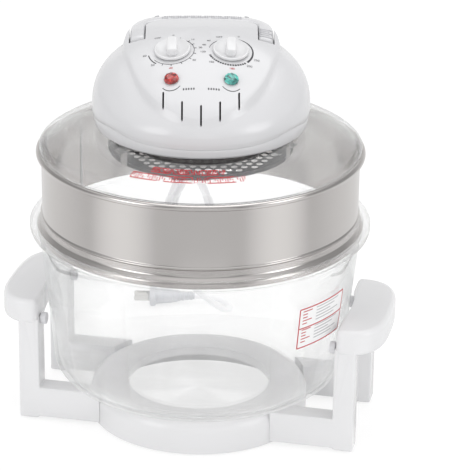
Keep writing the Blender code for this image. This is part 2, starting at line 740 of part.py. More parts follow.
def dome_point(angle, share, inset=0.0):
    """A point of the dome, or of its inner face, from an angle and a share out from the crown."""
    x, y = plan_place(angle, share, inset)
    flank = flank_height(angle, share, inset)
    deck = deck_height(x, y, flank, inset)
    if inset:
        over = (share - deck_edge(angle) + CAVITY_LEAD_SHARE) / CAVITY_LEAD_SHARE
    else:
        over = (share - deck_edge(angle)) / DECK_STEP_SHARE
    height = deck + (flank - deck) * min(1.0, max(0.0, over))
    away = ((abs(angle) - SIDE_DENT_ANGLE) / SIDE_DENT_WIDTH) ** 2 + ((share - SIDE_DENT_SHARE) / SIDE_DENT_SPREAD_SHARE) ** 2
    return Vector((x, y, DOME_SHOULDER + height - SIDE_DENT * math.exp(-away)))


def angle_and_share(x, y):
    """Where a place in plan lies on the dome."""
    back = y - DOME_CROWN_BACK
    room = DOME_RADIUS ** 2 - DOME_CROWN_BACK ** 2
    root = (DOME_CROWN_BACK * back) ** 2 + room * (x ** 2 + back ** 2)
    share = (DOME_CROWN_BACK * back + math.sqrt(root)) / room
    return front_angle(x, y - DOME_CROWN_BACK * (1 - share)), share


def deck_point(x, y):
    """The point of the deck above a place in plan, carried on past the deck's edge."""
    flank = flank_height(*angle_and_share(x, y), 0.0)
    return Vector((x, y, DOME_SHOULDER + deck_height(x, y, flank, 0.0)))


def deck_rotation(x, y):
    """Rotation that stands a piece square on the deck."""
    here = deck_point(x, y)
    along = deck_point(x + PROBE, y) - deck_point(x - PROBE, y)
    back = deck_point(x, y + PROBE) - deck_point(x, y - PROBE)
    normal = along.cross(back).normalized()
    return here, Vector((0, 0, 1)).rotation_difference(normal)


def angles_round(steps):
    return [math.pi * (2 * step / steps - 1) for step in range(steps)]


def dome_solid(name):
    """The outer form of the cover as a solid: side, raised deck edge and deck, ring by ring."""
    angles = angles_round(ROUND_STEPS)
    rings = [[Vector((SKIRT_TOP_RADIUS * math.sin(a), -SKIRT_TOP_RADIUS * math.cos(a), seam_height(a) + SEAT_GAP))
              for a in angles]]
    rings.append([dome_point(a, 1.0) for a in angles])
    for part in DOME_EDGE_SHARES:
        rings.append([dome_point(a, 1 - (1 - deck_edge(a) - DECK_STEP_SHARE) * part ** 2) for a in angles])
    rings.append([dome_point(a, deck_edge(a) + 0.5 * DECK_STEP_SHARE) for a in angles])
    rings.append([dome_point(a, deck_edge(a)) for a in angles])
    for part in DECK_RING_SHARES:
        rings.append([dome_point(a, deck_edge(a) * part) for a in angles])
    below = Vector((0, 0, HEAD_BOTTOM + SKIRT_HEIGHT + SEAT_GAP))
    return lofted(name, rings, WHITE, cap_points=(below, dome_point(0.0, 0.0)))


def cavity_solid(name):
    """The room inside the cover, reaching down past the seam."""
    angles = angles_round(CAVITY_STEPS)
    side = SKIRT_TOP_RADIUS - SKIRT_WALL
    rings = []
    for height in (HEAD_BOTTOM, DOME_SHOULDER):
        rings.append([Vector((side * math.sin(a), -side * math.cos(a), height)) for a in angles])
    for share in CAVITY_SHARES:
        rings.append([dome_point(a, share, DOME_WALL) for a in angles])
    return lofted(name, rings, WHITE, cap_points=(Vector((0, 0, HEAD_BOTTOM)), dome_point(0.0, 0.0, DOME_WALL)))


def handle_path():
    """Middle line of the carry handle in plan: arm, corner, bar, corner, arm, with its sideways direction."""
    straight = HANDLE_BAR_BACK - HANDLE_CORNER
    inner = HANDLE_HALF_SPAN - HANDLE_CORNER
    half = []
    for y in (HANDLE_PIVOT_BACK, 0.5 * (HANDLE_PIVOT_BACK + straight)):
        half.append(((HANDLE_HALF_SPAN, y), (1, 0)))
    for step in range(HANDLE_CORNER_STEPS + 1):
        turn = 0.5 * math.pi * step / HANDLE_CORNER_STEPS
        side = (math.cos(turn), math.sin(turn))
        half.append(((inner + HANDLE_CORNER * side[0], straight + HANDLE_CORNER * side[1]), side))
    bar = [((inner * (1 - 2 * step / HANDLE_BAR_STEPS), HANDLE_BAR_BACK), (0, 1)) for step in range(1, HANDLE_BAR_STEPS)]
    mirror = [((-x, y), (-side[0], side[1])) for (x, y), side in reversed(half)]
    return half + bar + mirror


def handle_tip(side):
    """Stations of an arm's round end, in front of its pivot."""
    stations = []
    for step in range(1, 4):
        turn = 0.5 * math.pi * step / 3.3
        y = HANDLE_PIVOT_BACK - 0.5 * HANDLE_THICKNESS * math.sin(turn)
        stations.append(((side * HANDLE_HALF_SPAN, y), (side, 0), math.cos(turn)))
    return stations


def handle_stations():
    path = [(place_, side, 1.0) for place_, side in handle_path()]
    return handle_tip(1)[::-1] + path + handle_tip(-1)


def pivot_height():
    return deck_point(HANDLE_HALF_SPAN, HANDLE_PIVOT_BACK).z - 0.5 * HANDLE_THICKNESS


def carry_handle(pivot):
    """The bail: a rounded bar that follows the deck's surface round its back."""
    half = HANDLE_HALF_WIDTH
    across = (-1, -HANDLE_EDGE_SHARE, 0, HANDLE_EDGE_SHARE, 1, 1, HANDLE_EDGE_SHARE, 0, -HANDLE_EDGE_SHARE, -1)
    up = (0.6, 1, 1, 1, 0.6, -0.6, -1, -1, -1, -0.6)
    rings = []
    for (x, y), side, thick in handle_stations():
        ring = []
        for part, lift in zip(across, up):
            px, py = x + part * half * side[0], y + part * half * side[1]
            level = deck_point(px, max(py, HANDLE_PIVOT_BACK)).z - 0.5 * HANDLE_THICKNESS
            ring.append(Vector((px, py, level + 0.5 * HANDLE_THICKNESS * thick * lift)) - pivot.location)
        rings.append(ring)
    handle = lofted("carry_handle", rings, WHITE, pivot)
    low, high = pin_reach()
    bores = []
    for side in (-1, 1):
        bore = rod("handle_bore", PIN_RADIUS + PIN_GAP, low - OVERRUN, high + PIN_GAP, WHITE, pivot)
        bore.rotation_euler = (0, side * math.pi / 2, 0)
        bores.append(bore)
    return combine_all(handle, "handle_bores", bores)


def channel_solid(name, extra, depth):
    """The U of room for the handle, with room before tips and bar to swing; grown by a wall for its lining."""
    half = HANDLE_HALF_WIDTH + CHANNEL_GAP + extra
    front = 0.5 * HANDLE_THICKNESS + TIP_ROOM + extra
    path = handle_path()
    ends = [((HANDLE_HALF_SPAN, HANDLE_PIVOT_BACK - front), (1, 0)), ((-HANDLE_HALF_SPAN, HANDLE_PIVOT_BACK - front), (-1, 0))]
    rings = []
    for (x, y), side in ends[:1] + path + ends[1:]:
        floor = deck_point(x, max(y, HANDLE_PIVOT_BACK)).z - depth - extra
        ring = []
        for part, top in ((-1, False), (1, False), (1, True), (-1, True)):
            height = DOME_SHOULDER + DOME_RISE + 4 * DECK_STEP if top else floor
            reach = half + (BAR_ROOM if part < 0 else BACK_ROOM) * side[1]
            ring.append(Vector((x + part * reach * side[0], y + part * reach * side[1], height)))
        rings.append(ring)
    return lofted(name, rings, WHITE)


def pocket_block(name, extra, depth):
    """Room behind the handle's bar for the fingers that lift it."""
    floor = deck_point(0, HANDLE_BAR_BACK).z - depth - extra
    top = DOME_SHOULDER + DOME_RISE + 4 * DECK_STEP
    reach = POCKET_HALF_SPAN + extra
    return block(name, (-reach, HANDLE_BAR_BACK, floor), (reach, POCKET_BACK + extra, top), WHITE)


def fitting_hole(name, radius, x, y):
    """A hole square through the deck."""
    here, turn = deck_rotation(x, y)
    hole = rod(name, radius, -4 * DOME_WALL, 2 * DOME_WALL, WHITE)
    hole.location = here
    hole.rotation_mode = "QUATERNION"
    hole.rotation_quaternion = turn
    return hole


def vent_slots():
    """The five upright slots through the front of the panel."""
    for number in (-2, -1, 0, 1, 2):
        middle = number * SLOT_PITCH
        low = SLOT_BOTTOM + SLOT_LENGTH * SLOT_RISE_SHARES[abs(number)]
        yield block(f"slot_{number + 3}", (middle - 0.5 * SLOT_WIDTH, -SLOT_FRONT, low),
                    (middle + 0.5 * SLOT_WIDTH, -SLOT_BACK, low + SLOT_LENGTH), WHITE)


def pin_holes():
    """Holes for the handle's pins in the inner walls of its channel."""
    low, high = pin_reach()
    for side in (-1, 1):
        hole = rod("pin_hole", PIN_RADIUS + PIN_GAP, low - PIN_GAP, high, WHITE)
        hole.rotation_euler = (0, side * math.pi / 2, 0)
        hole.location = (0, HANDLE_PIVOT_BACK, pivot_height())
        yield hole


def head_cover(gland_x):
    """The moulded cover: dome, raised deck, channel for the handle, slots and holes."""
    cavity = cavity_solid("cover_room")
    linings = [channel_solid("channel_lining", DOME_WALL, CHANNEL_DEPTH),
               pocket_block("pocket_lining", DOME_WALL, POCKET_DEPTH)]
    cutters = [combine_all(cavity, "linings", linings), channel_solid("channel_room", 0.0, CHANNEL_DEPTH),
               pocket_block("pocket_room", 0.0, POCKET_DEPTH), *vent_slots(), *pin_holes()]
    for side in (-1, 1):
        cutters.append(fitting_hole("bushing_hole", BUSHING_RADIUS + SEAT_GAP, side * KNOB_SPREAD, KNOB_BACK))
        cutters.append(fitting_hole("lamp_hole", LAMP_STEM_RADIUS + SEAT_GAP, side * LAMP_SPREAD, LAMP_BACK))
    place_x, place_y, _ = plunger_place()
    plunger_hole = rod("plunger_hole", PLUNGER_RADIUS + SEAT_GAP, DOME_SHOULDER, pivot_height(), WHITE)
    plunger_hole.location = (place_x, place_y, 0)
    gland_hole = rod("gland_hole", GLAND_NECK_RADIUS + SEAT_GAP, 0.5 * DOME_RADIUS, 2 * DOME_RADIUS, WHITE)
    gland_hole.rotation_euler = (-math.pi / 2, 0, 0)
    gland_hole.location = (gland_x, 0, GLAND_HEIGHT)
    return combine_all(dome_solid("head_cover"), "cover_cuts", cutters + [plunger_hole, gland_hole])


def head_skirt():
    """The band under the cover, with an inner floor that the heat shield is screwed to."""
    inner = SKIRT_TOP_RADIUS - SKIRT_WALL
    floor = HEAD_BOTTOM + SKIRT_FLOOR_LIFT
    rim = SKIRT_FOOT_RADIUS - SKIRT_FLOOR_INSET
    foot = SKIRT_FOOT_RADIUS - SKIRT_WALL
    top = HEAD_BOTTOM + SKIRT_HEIGHT
    profile = [
        (SKIRT_FOOT_RADIUS, HEAD_BOTTOM), (SKIRT_TOP_RADIUS, top), (inner, top), (inner, SKIRT_FLOOR_TOP),
        (rim, SKIRT_FLOOR_TOP), (rim, floor), (foot, floor), (foot, HEAD_BOTTOM),
    ]
    skirt = turned("head_skirt", profile, WHITE)
    for vertex in skirt.data.vertices:
        if vertex.co.z > top - MERGE:
            vertex.co.z = seam_height(front_angle(vertex.co.x, vertex.co.y))
    for hole in screw_holes("skirt"):
        combine(skirt, hole, "DIFFERENCE")
    return skirt


def screw_places():
    for number in range(SCREW_COUNT):
        angle = 2 * math.pi * (number / SCREW_COUNT + 0.25)
        yield number + 1, SCREW_PLACE_RADIUS * math.cos(angle), SCREW_PLACE_RADIUS * math.sin(angle)


def screw_holes(owner):
    for number, x, y in screw_places():
        hole = rod(f"{owner}_screw_hole_{number}", SCREW_RADIUS + SEAT_GAP, SHIELD_UNDERSIDE - OVERRUN,
                   SKIRT_FLOOR_TOP + OVERRUN, STEEL)
        hole.location = (x, y, 0)
        yield hole


def shield_screws():
    for number, x, y in screw_places():
        under = SHIELD_UNDERSIDE - SEAT_GAP
        profile = [(0, under - SCREW_HEAD_HEIGHT), (0.7 * SCREW_HEAD_RADIUS, under - SCREW_HEAD_HEIGHT),
                   (SCREW_HEAD_RADIUS, under - 0.5 * SCREW_HEAD_HEIGHT), (SCREW_HEAD_RADIUS, under),
                   (SCREW_RADIUS, under), (SCREW_RADIUS, under + SCREW_LENGTH), (0, under + SCREW_LENGTH)]
        screw = turned(f"shield_screw_{number}", profile, STEEL, steps=SMALL_STEPS)
        screw.location = (x, y, 0)


def knob_and_unit(label, side):
    """One control: knob and shaft on the turning axis, and the unit under the deck."""
    here, turn = deck_rotation(side * KNOB_SPREAD, KNOB_BACK)
    axis = axis_empty(f"{label}_axis", here, turn)
    low = SEAT_GAP + RUNNING_GAP
    knob = turned(f"{label}_knob", [
        (0, low), (KNOB_RADIUS, low), (KNOB_RADIUS, low + KNOB_HEIGHT - 2 * KNOB_CHAMFER),
        (KNOB_RADIUS - KNOB_CHAMFER, low + KNOB_HEIGHT - 0.5 * KNOB_CHAMFER),
        (0.8 * KNOB_RADIUS, low + KNOB_HEIGHT - 0.5 * KNOB_CHAMFER), (0.6 * KNOB_RADIUS, low + KNOB_HEIGHT - KNOB_DISH),
        (0, low + KNOB_HEIGHT - KNOB_DISH)], WHITE, axis, steps=24)
    bar = block(f"{label}_bar", (-0.5 * KNOB_BAR_WIDTH, -0.5 * KNOB_BAR_LENGTH, low + KNOB_CHAMFER),
                (0.5 * KNOB_BAR_WIDTH, 0.5 * KNOB_BAR_LENGTH, low + KNOB_BAR_HEIGHT), WHITE, axis)
    combine(knob, round_edges(bar, KNOB_BAR_BEVEL, 1), "UNION")
    bore = rod(f"{label}_bore", SHAFT_RADIUS + SHAFT_GAP, -OVERRUN, SHAFT_IN_KNOB + SHAFT_GAP, WHITE, axis)
    combine(knob, bore, "DIFFERENCE")
    rod(f"{label}_shaft", SHAFT_RADIUS, SHAFT_IN_KNOB - SHAFT_LENGTH, SHAFT_IN_KNOB, STEEL, axis)
    end = SHAFT_IN_KNOB - SHAFT_LENGTH - SHAFT_GAP
    hole = SHAFT_RADIUS + SHAFT_GAP
    turned(f"{label}_unit", [
        (0, -UNIT_DROP - UNIT_HEIGHT), (UNIT_RADIUS, -UNIT_DROP - UNIT_HEIGHT), (UNIT_RADIUS, -UNIT_DROP),
        (BUSHING_RADIUS, -UNIT_DROP), (BUSHING_RADIUS, 0), (hole, 0), (hole, end), (0, end)], BLACK, axis, steps=16)


def indicator_lamp(name, side, look):
    here, turn = deck_rotation(side * LAMP_SPREAD, LAMP_BACK)
    seat = axis_empty(f"{name}_seat", here, turn)
    foot = SEAT_GAP + 0.5 * LAMP_FLANGE
    profile = [(0, -LAMP_STEM), (LAMP_STEM_RADIUS, -LAMP_STEM), (LAMP_STEM_RADIUS, foot), (LAMP_RADIUS, foot),
               (LAMP_RADIUS, foot + LAMP_FLANGE)]
    for step in range(1, 4):
        angle = 0.5 * math.pi * step / 4
        profile.append((LAMP_RADIUS * math.cos(angle), foot + LAMP_FLANGE + LAMP_DOME * math.sin(angle)))
    profile.append((0, foot + LAMP_FLANGE + LAMP_DOME))
    turned(name, profile, look, seat, steps=16)


def pin_reach():
    """Inner and outer ends of a handle pin, from the middle plane."""
    inner = HANDLE_HALF_SPAN - HANDLE_HALF_WIDTH - CHANNEL_GAP - PIN_END_MARGIN
    outer = HANDLE_HALF_SPAN + PIN_SHARE * HANDLE_HALF_WIDTH
    return inner, outer


def handle_pins():
    inner, outer = pin_reach()
    for name, side in (("handle_pin_left", -1), ("handle_pin_right", 1)):
        pin = rod(name, PIN_RADIUS, inner, outer, STEEL)
        pin.rotation_euler = (0, side * math.pi / 2, 0)
        pin.location = (0, HANDLE_PIVOT_BACK, pivot_height())


def plunger_place():
    """Place of the plunger and the height of the handle's underside above it."""
    x, y = -HANDLE_HALF_SPAN, HANDLE_PIVOT_BACK + PLUNGER_BEHIND_PIVOT
    return x, y, deck_point(x - 1.2 * PLUNGER_RADIUS, y).z - HANDLE_THICKNESS


def safety_switch():
    """The switch under the handle's channel, and the plunger that the folded handle holds down."""
    x, y, under = plunger_place()
    length = 0.5 * SWITCH_LENGTH
    floor = min(deck_point(x, y + end * length).z for end in (-1, 0, 1)) - CHANNEL_DEPTH - DOME_WALL
    top = floor - 4 * SEAT_GAP
    width = 0.5 * SWITCH_WIDTH
    body = block("safety_switch", (x - width, y - length, top - SWITCH_HEIGHT), (x + width, y + length, top), BLACK)
    bore = rod("switch_bore", PLUNGER_RADIUS + SEAT_GAP, top - 0.5 * SWITCH_HEIGHT, top + OVERRUN, BLACK)
    bore.location = (x, y, 0)
    combine(body, bore, "DIFFERENCE")
    plunger = rod("switch_plunger", PLUNGER_RADIUS, top - 0.5 * SWITCH_HEIGHT + SEAT_GAP - under,
                  -3 * SEAT_GAP, WHITE)
    plunger.location = (x, y, under)


# Heat, air and guard

def heat_shield():
    """A pan of bright sheet that clamps the lid's eye from below and carries the heater."""
    pan = SHIELD_PAN_RADIUS
    profile = [
        (SHIELD_EYE_RADIUS, SHIELD_TOP), (pan, SHIELD_TOP), (pan, SHIELD_FLANGE_TOP), (SHIELD_RADIUS, SHIELD_FLANGE_TOP),
        (SHIELD_RADIUS, SHIELD_FLANGE_TOP - SHIELD_WALL), (pan - SHIELD_WALL, SHIELD_FLANGE_TOP - SHIELD_WALL),
        (pan - SHIELD_WALL, SHIELD_UNDERSIDE), (SHIELD_EYE_RADIUS, SHIELD_UNDERSIDE),
    ]
    shield = turned("heat_shield", profile, STEEL)
    for hole in screw_holes("shield"):
        combine(shield, hole, "DIFFERENCE")
    return shield


def motor_and_fans(spin):
    """The motor on its bracket, with one shaft that turns a cooling fan above and a hot fan below."""
    bore = MOTOR_SHAFT_RADIUS + MOTOR_BORE_GAP
    low = SHIELD_TOP + SEAT_GAP
    high = low + BRACKET_HEIGHT
    turned("motor_bracket", [
        (BRACKET_RADIUS, low), (BRACKET_RADIUS, low + BRACKET_WALL), (BRACKET_TOP_RADIUS, low + BRACKET_WALL),
        (BRACKET_TOP_RADIUS, high), (bore + SEAT_GAP, high), (bore + SEAT_GAP, high - BRACKET_WALL),
        (BRACKET_TOP_RADIUS - BRACKET_WALL, high - BRACKET_WALL), (BRACKET_TOP_RADIUS - BRACKET_WALL, low)],
        STEEL, steps=20)
    motor_low = high + SEAT_GAP
    motor_top = motor_low + MOTOR_HEIGHT
    turned("fan_motor", [(bore, motor_low), (MOTOR_RADIUS, motor_low), (MOTOR_RADIUS, motor_top), (bore, motor_top)],
           DARK_STEEL, steps=24)
    cooling = motor_top + FAN_GAP
    hot = SHIELD_UNDERSIDE - FAN_GAP - FAN_DEPTH
    rod("motor_shaft", MOTOR_SHAFT_RADIUS, hot - FAN_GAP, cooling + FAN_DEPTH + FAN_GAP, STEEL, spin)
    fan("cooling_fan", COOLING_FAN_RADIUS, COOLING_FAN_BLADES, cooling, BLACK, spin)
    fan("convection_fan", CONVECTION_FAN_RADIUS, CONVECTION_FAN_BLADES, hot, STEEL, spin)


def fan(name, reach, blades, low, look, spin):
    """Pitched blades round a hub: one star outline, twisted between its two faces."""
    rings = []
    for height, twist in ((low, -FAN_TWIST), (low + FAN_DEPTH, FAN_TWIST)):
        ring = []
        for number in range(blades):
            start = 2 * math.pi * number / blades
            for radius, share in ((FAN_HUB_RADIUS, -0.42), (reach, -0.12), (reach, 0.12), (FAN_HUB_RADIUS, 0.42)):
                angle = start + share * 2 * math.pi / blades + twist * radius / reach
                ring.append(Vector((radius * math.cos(angle), radius * math.sin(angle), height)))
        rings.append(ring)
    piece = lofted(name, rings, look, spin, cap_points=(Vector((0, 0, low)), Vector((0, 0, low + FAN_DEPTH))))
    bore = rod(name + "_bore", MOTOR_SHAFT_RADIUS + SEAT_GAP, low - OVERRUN, low + FAN_DEPTH + OVERRUN, look, spin)
    return combine(piece, bore, "DIFFERENCE")


def heating_element():
    """An open ring of sheathed rod whose two ends turn up into ceramic bushes."""
    height = SHIELD_UNDERSIDE - ELEMENT_DROP
    start = 0.5 * math.pi + 0.5 * ELEMENT_OPEN_ANGLE
    sweep = 2 * math.pi - ELEMENT_OPEN_ANGLE
    ring = []
    for step in range(ELEMENT_STEPS + 1):
        angle = start + sweep * step / ELEMENT_STEPS
        ring.append(Vector((ELEMENT_RADIUS * math.cos(angle), ELEMENT_RADIUS * math.sin(angle), height)))
    top = SHIELD_UNDERSIDE - SEAT_GAP
    ends = []
    for first, second in ((ring[0], ring[1]), (ring[-1], ring[-2])):
        out = (first - second).normalized() * 2 * ELEMENT_TUBE
        ends.append([first + 0.75 * out + Vector((0, 0, 0.25 * out.length)), first + out + Vector((0, 0, 0.8 * out.length)),
                     Vector((*(first + out).xy, top))])
    tube("heating_element", ends[0][::-1] + ring + ends[1], 2 * ELEMENT_TUBE, DARK_STEEL)
    for number, end in enumerate(ends, start=1):
        hole = ELEMENT_TUBE + 2 * SEAT_GAP
        bush = turned(f"element_bush_{number}", [
            (hole, top - BUSH_HEIGHT), (BUSH_RADIUS, top - BUSH_HEIGHT), (BUSH_RADIUS, top), (hole, top)],
            CERAMIC, steps=SMALL_STEPS)
        bush.location = (*end[-1].xy, 0)


def sensor_bulb():
    """The thermostat's sensing bulb, hung from the shield beside the element."""
    top = SHIELD_UNDERSIDE - SEAT_GAP
    low = SHIELD_UNDERSIDE - SENSOR_DROP
    bend = 2 * SENSOR_RADIUS
    route = [(SENSOR_PLACE, 0, top), (SENSOR_PLACE, 0, low + bend), (SENSOR_PLACE, 0.3 * bend, low + 0.3 * bend),
             (SENSOR_PLACE, bend, low), (SENSOR_PLACE, SENSOR_LENGTH, low)]
    tube("sensor_bulb", route, 2 * SENSOR_RADIUS, STEEL)


def heater_guard():
    """The perforated plate under the heater: rings of holes and an upturned rim, made as one skin."""
    low = SHIELD_FLANGE_TOP - GUARD_DROP
    high = low + GUARD_WALL
    rim = low + GUARD_RIM
    guard = turned("heater_guard", [
        (0, low), (GUARD_RADIUS - GUARD_WALL, low), (GUARD_RADIUS, low + GUARD_WALL), (GUARD_RADIUS, rim),
        (GUARD_RADIUS - GUARD_WALL, rim), (GUARD_RADIUS - GUARD_WALL, high), (0, high)], STEEL)
    punch = bmesh.new()
    for radius, count in zip(GUARD_ROW_RADII, GUARD_ROW_COUNTS):
        for number in range(count):
            angle = 2 * math.pi * number / count
            at = Matrix.Translation((radius * math.cos(angle), radius * math.sin(angle), 0.5 * (low + high)))
            bmesh.ops.create_cone(punch, cap_ends=True, segments=GUARD_HOLE_SIDES, radius1=GUARD_HOLE_RADIUS,
                                  radius2=GUARD_HOLE_RADIUS, depth=3 * GUARD_WALL, matrix=at)
    return combine(guard, place("guard_punch", punch, STEEL), "DIFFERENCE")


def guard_straps():
    """Three bent straps from the shield's flange down past the guard's rim."""
    low = SHIELD_FLANGE_TOP - GUARD_DROP + GUARD_WALL
    top = SHIELD_FLANGE_TOP - SHIELD_WALL - SEAT_GAP
    inside = GUARD_RADIUS + SEAT_GAP
    half = 0.5 * STRAP_WIDTH
    side = [(inside, low), (inside + STRAP_THICKNESS, low), (inside + STRAP_THICKNESS, top - STRAP_THICKNESS),
            (inside + STRAP_FOOT, top - STRAP_THICKNESS), (inside + STRAP_FOOT, top), (inside, top)]
    for number, angle in enumerate(STRAP_ANGLES, start=1):
        rings = [[Vector((radius, width, height)) for radius, height in side] for width in (-half, half)]
        strap = lofted(f"guard_strap_{number}", rings, STEEL)
        strap.rotation_euler = (0, 0, angle)


def terminal_block():
    low = SKIRT_FLOOR_TOP - SKIRT_FLOOR_THICKNESS
    half = 0.5 * TERMINAL_LENGTH
    block("terminal_block", (-half, TERMINAL_BACK, low), (half, TERMINAL_BACK + TERMINAL_WIDTH, low + TERMINAL_HEIGHT),
          BLACK)


# Cord

def cover_back(height):
    """How far back the cover's outer face stands at a height."""
    rise = min(1.0, max(0.0, height - DOME_SHOULDER) / DOME_RISE)
    share = (1 - rise ** DOME_SIDE_POWER) ** (1 / DOME_SIDE_POWER)
    return DOME_CROWN_BACK * (1 - share) + DOME_RADIUS * share


def cord_gland(x):
    """The tapered, ribbed strain relief in the cover's back wall."""
    wall = cover_back(GLAND_HEIGHT)
    inside = wall - GLAND_SETBACK - GLAND_FLANGE
    profile = [(0, inside), (GLAND_FLANGE_RADIUS, inside), (GLAND_FLANGE_RADIUS, inside + GLAND_FLANGE),
               (GLAND_NECK_RADIUS, inside + GLAND_FLANGE), (GLAND_NECK_RADIUS, wall + SEAT_GAP)]
    step = (GLAND_LENGTH - SEAT_GAP) / (2 * GLAND_RIBS)
    for number in range(2 * GLAND_RIBS):
        share = number / (2 * GLAND_RIBS)
        radius = GLAND_ROOT_RADIUS + (GLAND_TIP_RADIUS - GLAND_ROOT_RADIUS) * share
        radius -= 0.12 * GLAND_TIP_RADIUS * (number % 2)
        profile += [(radius, wall + SEAT_GAP + (number + 0.15) * step), (radius, wall + SEAT_GAP + (number + 0.85) * step)]
    profile += [(GLAND_TIP_RADIUS, wall + GLAND_LENGTH), (0, wall + GLAND_LENGTH)]
    gland = turned("cord_gland", profile, WHITE, steps=12)
    gland.rotation_euler = (-math.pi / 2, 0, 0)
    gland.location = (x, 0, GLAND_HEIGHT)


def hank_points():
    """Runs and half turns of the hank, two layers deep, drawn in at the waist by its tie."""
    mx, my, mz = HANK_MIDDLE
    runs = []
    for run in range(len(HANK_STEP_COUNTS)):
        side = -1 if run % 2 == 0 else 1
        reach = HANK_REACH + HANK_RUN_STEP * HANK_STEP_COUNTS[run]
        layer = 0.5 if run < 2 else -0.5
        runs.append((side * reach, layer * HANK_LAYER_STEP, side))
    points = []
    for number, (x, y, side) in enumerate(runs):
        down = side < 0
        for step in range(HANK_RUN_POINTS + 1):
            height = HANK_HALF_RUN * (1 - 2 * step / HANK_RUN_POINTS) * (1 if down else -1)
            waist = HANK_WAIST * math.exp(-(height / HANK_WAIST_SPREAD) ** 2)
            points.append(Vector((mx + x - side * waist, my + y, mz + height)))
        if number + 1 < len(runs):
            next_x, next_y, _ = runs[number + 1]
            end = -HANK_HALF_RUN if down else HANK_HALF_RUN
            for step in range(1, HANK_TURN_POINTS):
                share = step / HANK_TURN_POINTS
                angle = math.pi * share
                middle, radius = 0.5 * (x + next_x), 0.5 * (x - next_x)
                flat = 1.0 if next_y == y else HANK_CROSSING_SHARE
                lift = abs(radius) * math.sin(angle) * flat * (-1 if down else 1)
                climb = y + (next_y - y) * 0.5 * (1 - math.cos(angle))
                points.append(Vector((mx + middle + radius * math.cos(angle), my + climb, mz + end + lift)))
    straight = Vector((0, 0, CORD_DIAMETER))
    return [points[0] + straight] + points + [points[-1] - straight]


def least_self_gap(points, diameter, apart):
    """Least face-to-face gap between stretches of a tube that are not neighbours."""
    least = math.inf
    segments = [(a, b) for a, b in zip(points, points[1:])]
    fine = [a.lerp(b, part / 4) for a, b in segments for part in range(4)]
    step = sum((b - a).length for a, b in segments) / len(fine)
    skip = int(apart / step) + 1
    for i, first in enumerate(fine):
        for second in fine[i + skip:]:
            least = min(least, (first - second).length)
    return least - diameter


def cord_and_plug(gland_x):
    points = hank_points()
    print("hank length", round(sum((b - a).length for a, b in zip(points, points[1:])), 4))
    print("hank least gap to itself", round(least_self_gap(points, CORD_DIAMETER, 3 * math.pi * CORD_DIAMETER), 5))
    first, last = points[0], points[-1]
    exit_y = cover_back(GLAND_HEIGHT) + GLAND_LENGTH + SEAT_GAP
    lead = [(gland_x, exit_y, GLAND_HEIGHT), (gland_x, exit_y + CORD_DIAMETER, GLAND_HEIGHT), (-0.0020, 0.1580, 0.3250),
            (-0.0070, 0.1700, 0.3130), (-0.0150, 0.1790, 0.2950), (-0.0245, 0.1825, 0.2700),
            (first.x, first.y, first.z + CORD_DIAMETER), (first.x, first.y, first.z + SEAT_GAP)]
    tail_end = (PLUG_PLACE[0] + PLUG_LENGTH + SEAT_GAP, PLUG_PLACE[1], 0.5 * PLUG_DEPTH)
    tail = [(last.x, last.y, last.z - SEAT_GAP), (last.x, last.y, last.z - CORD_DIAMETER), (-0.0352, 0.1775, 0.1150),
            (-0.0300, 0.1815, 0.0880), (-0.0145, 0.1900, 0.0580), (0.0085, 0.2010, 0.0300),
            (0.0262, 0.2178, 0.0110), (0.0336, 0.2366, 0.0040), (0.0276, 0.2526, 0.0042),
            (0.0146, 0.2576, 0.0065), (tail_end[0] + CORD_DIAMETER, tail_end[1], tail_end[2]), tail_end]
    tube("power_cord", cord_line(lead), CORD_DIAMETER, WHITE)
    tube("cord_hank", points, CORD_DIAMETER, WHITE, 1)
    tube("cord_tail", cord_line(tail), CORD_DIAMETER, WHITE)
    cord_tie()
    plug()


def cord_tie():
    """A band round the hank's waist."""
    mx, my, mz = HANK_MIDDLE
    waist = HANK_REACH + HANK_RUN_STEP * max(HANK_STEP_COUNTS) - HANK_WAIST
    half_x = waist + 0.5 * CORD_DIAMETER + 4 * SEAT_GAP
    half_y = 0.5 * HANK_LAYER_STEP + 0.5 * CORD_DIAMETER + 2 * SEAT_GAP
    outline = []
    for step in range(20):
        angle = 2 * math.pi * step / 20
        cosine, sine = math.cos(angle), math.sin(angle)
        outline.append((math.copysign(abs(cosine) ** 0.35, cosine), math.copysign(abs(sine) ** 0.35, sine)))
    rings = []
    for grow, height in ((0, -1), (TIE_WALL, -1), (TIE_WALL, 1), (0, 1)):
        rings.append([Vector((mx + (half_x + grow) * x, my + (half_y + grow) * y, mz + 0.5 * TIE_HEIGHT * height))
                      for x, y in outline])
    mesh = bmesh.new()
    loops = [[mesh.verts.new(point) for point in ring] for ring in rings]
    for lower, upper in zip(loops, loops[1:] + loops[:1]):
        for i in range(len(lower)):
            j = (i + 1) % len(lower)
            mesh.faces.new((lower[i], lower[j], upper[j], upper[i]))
    return place("cord_tie", mesh, BLACK)


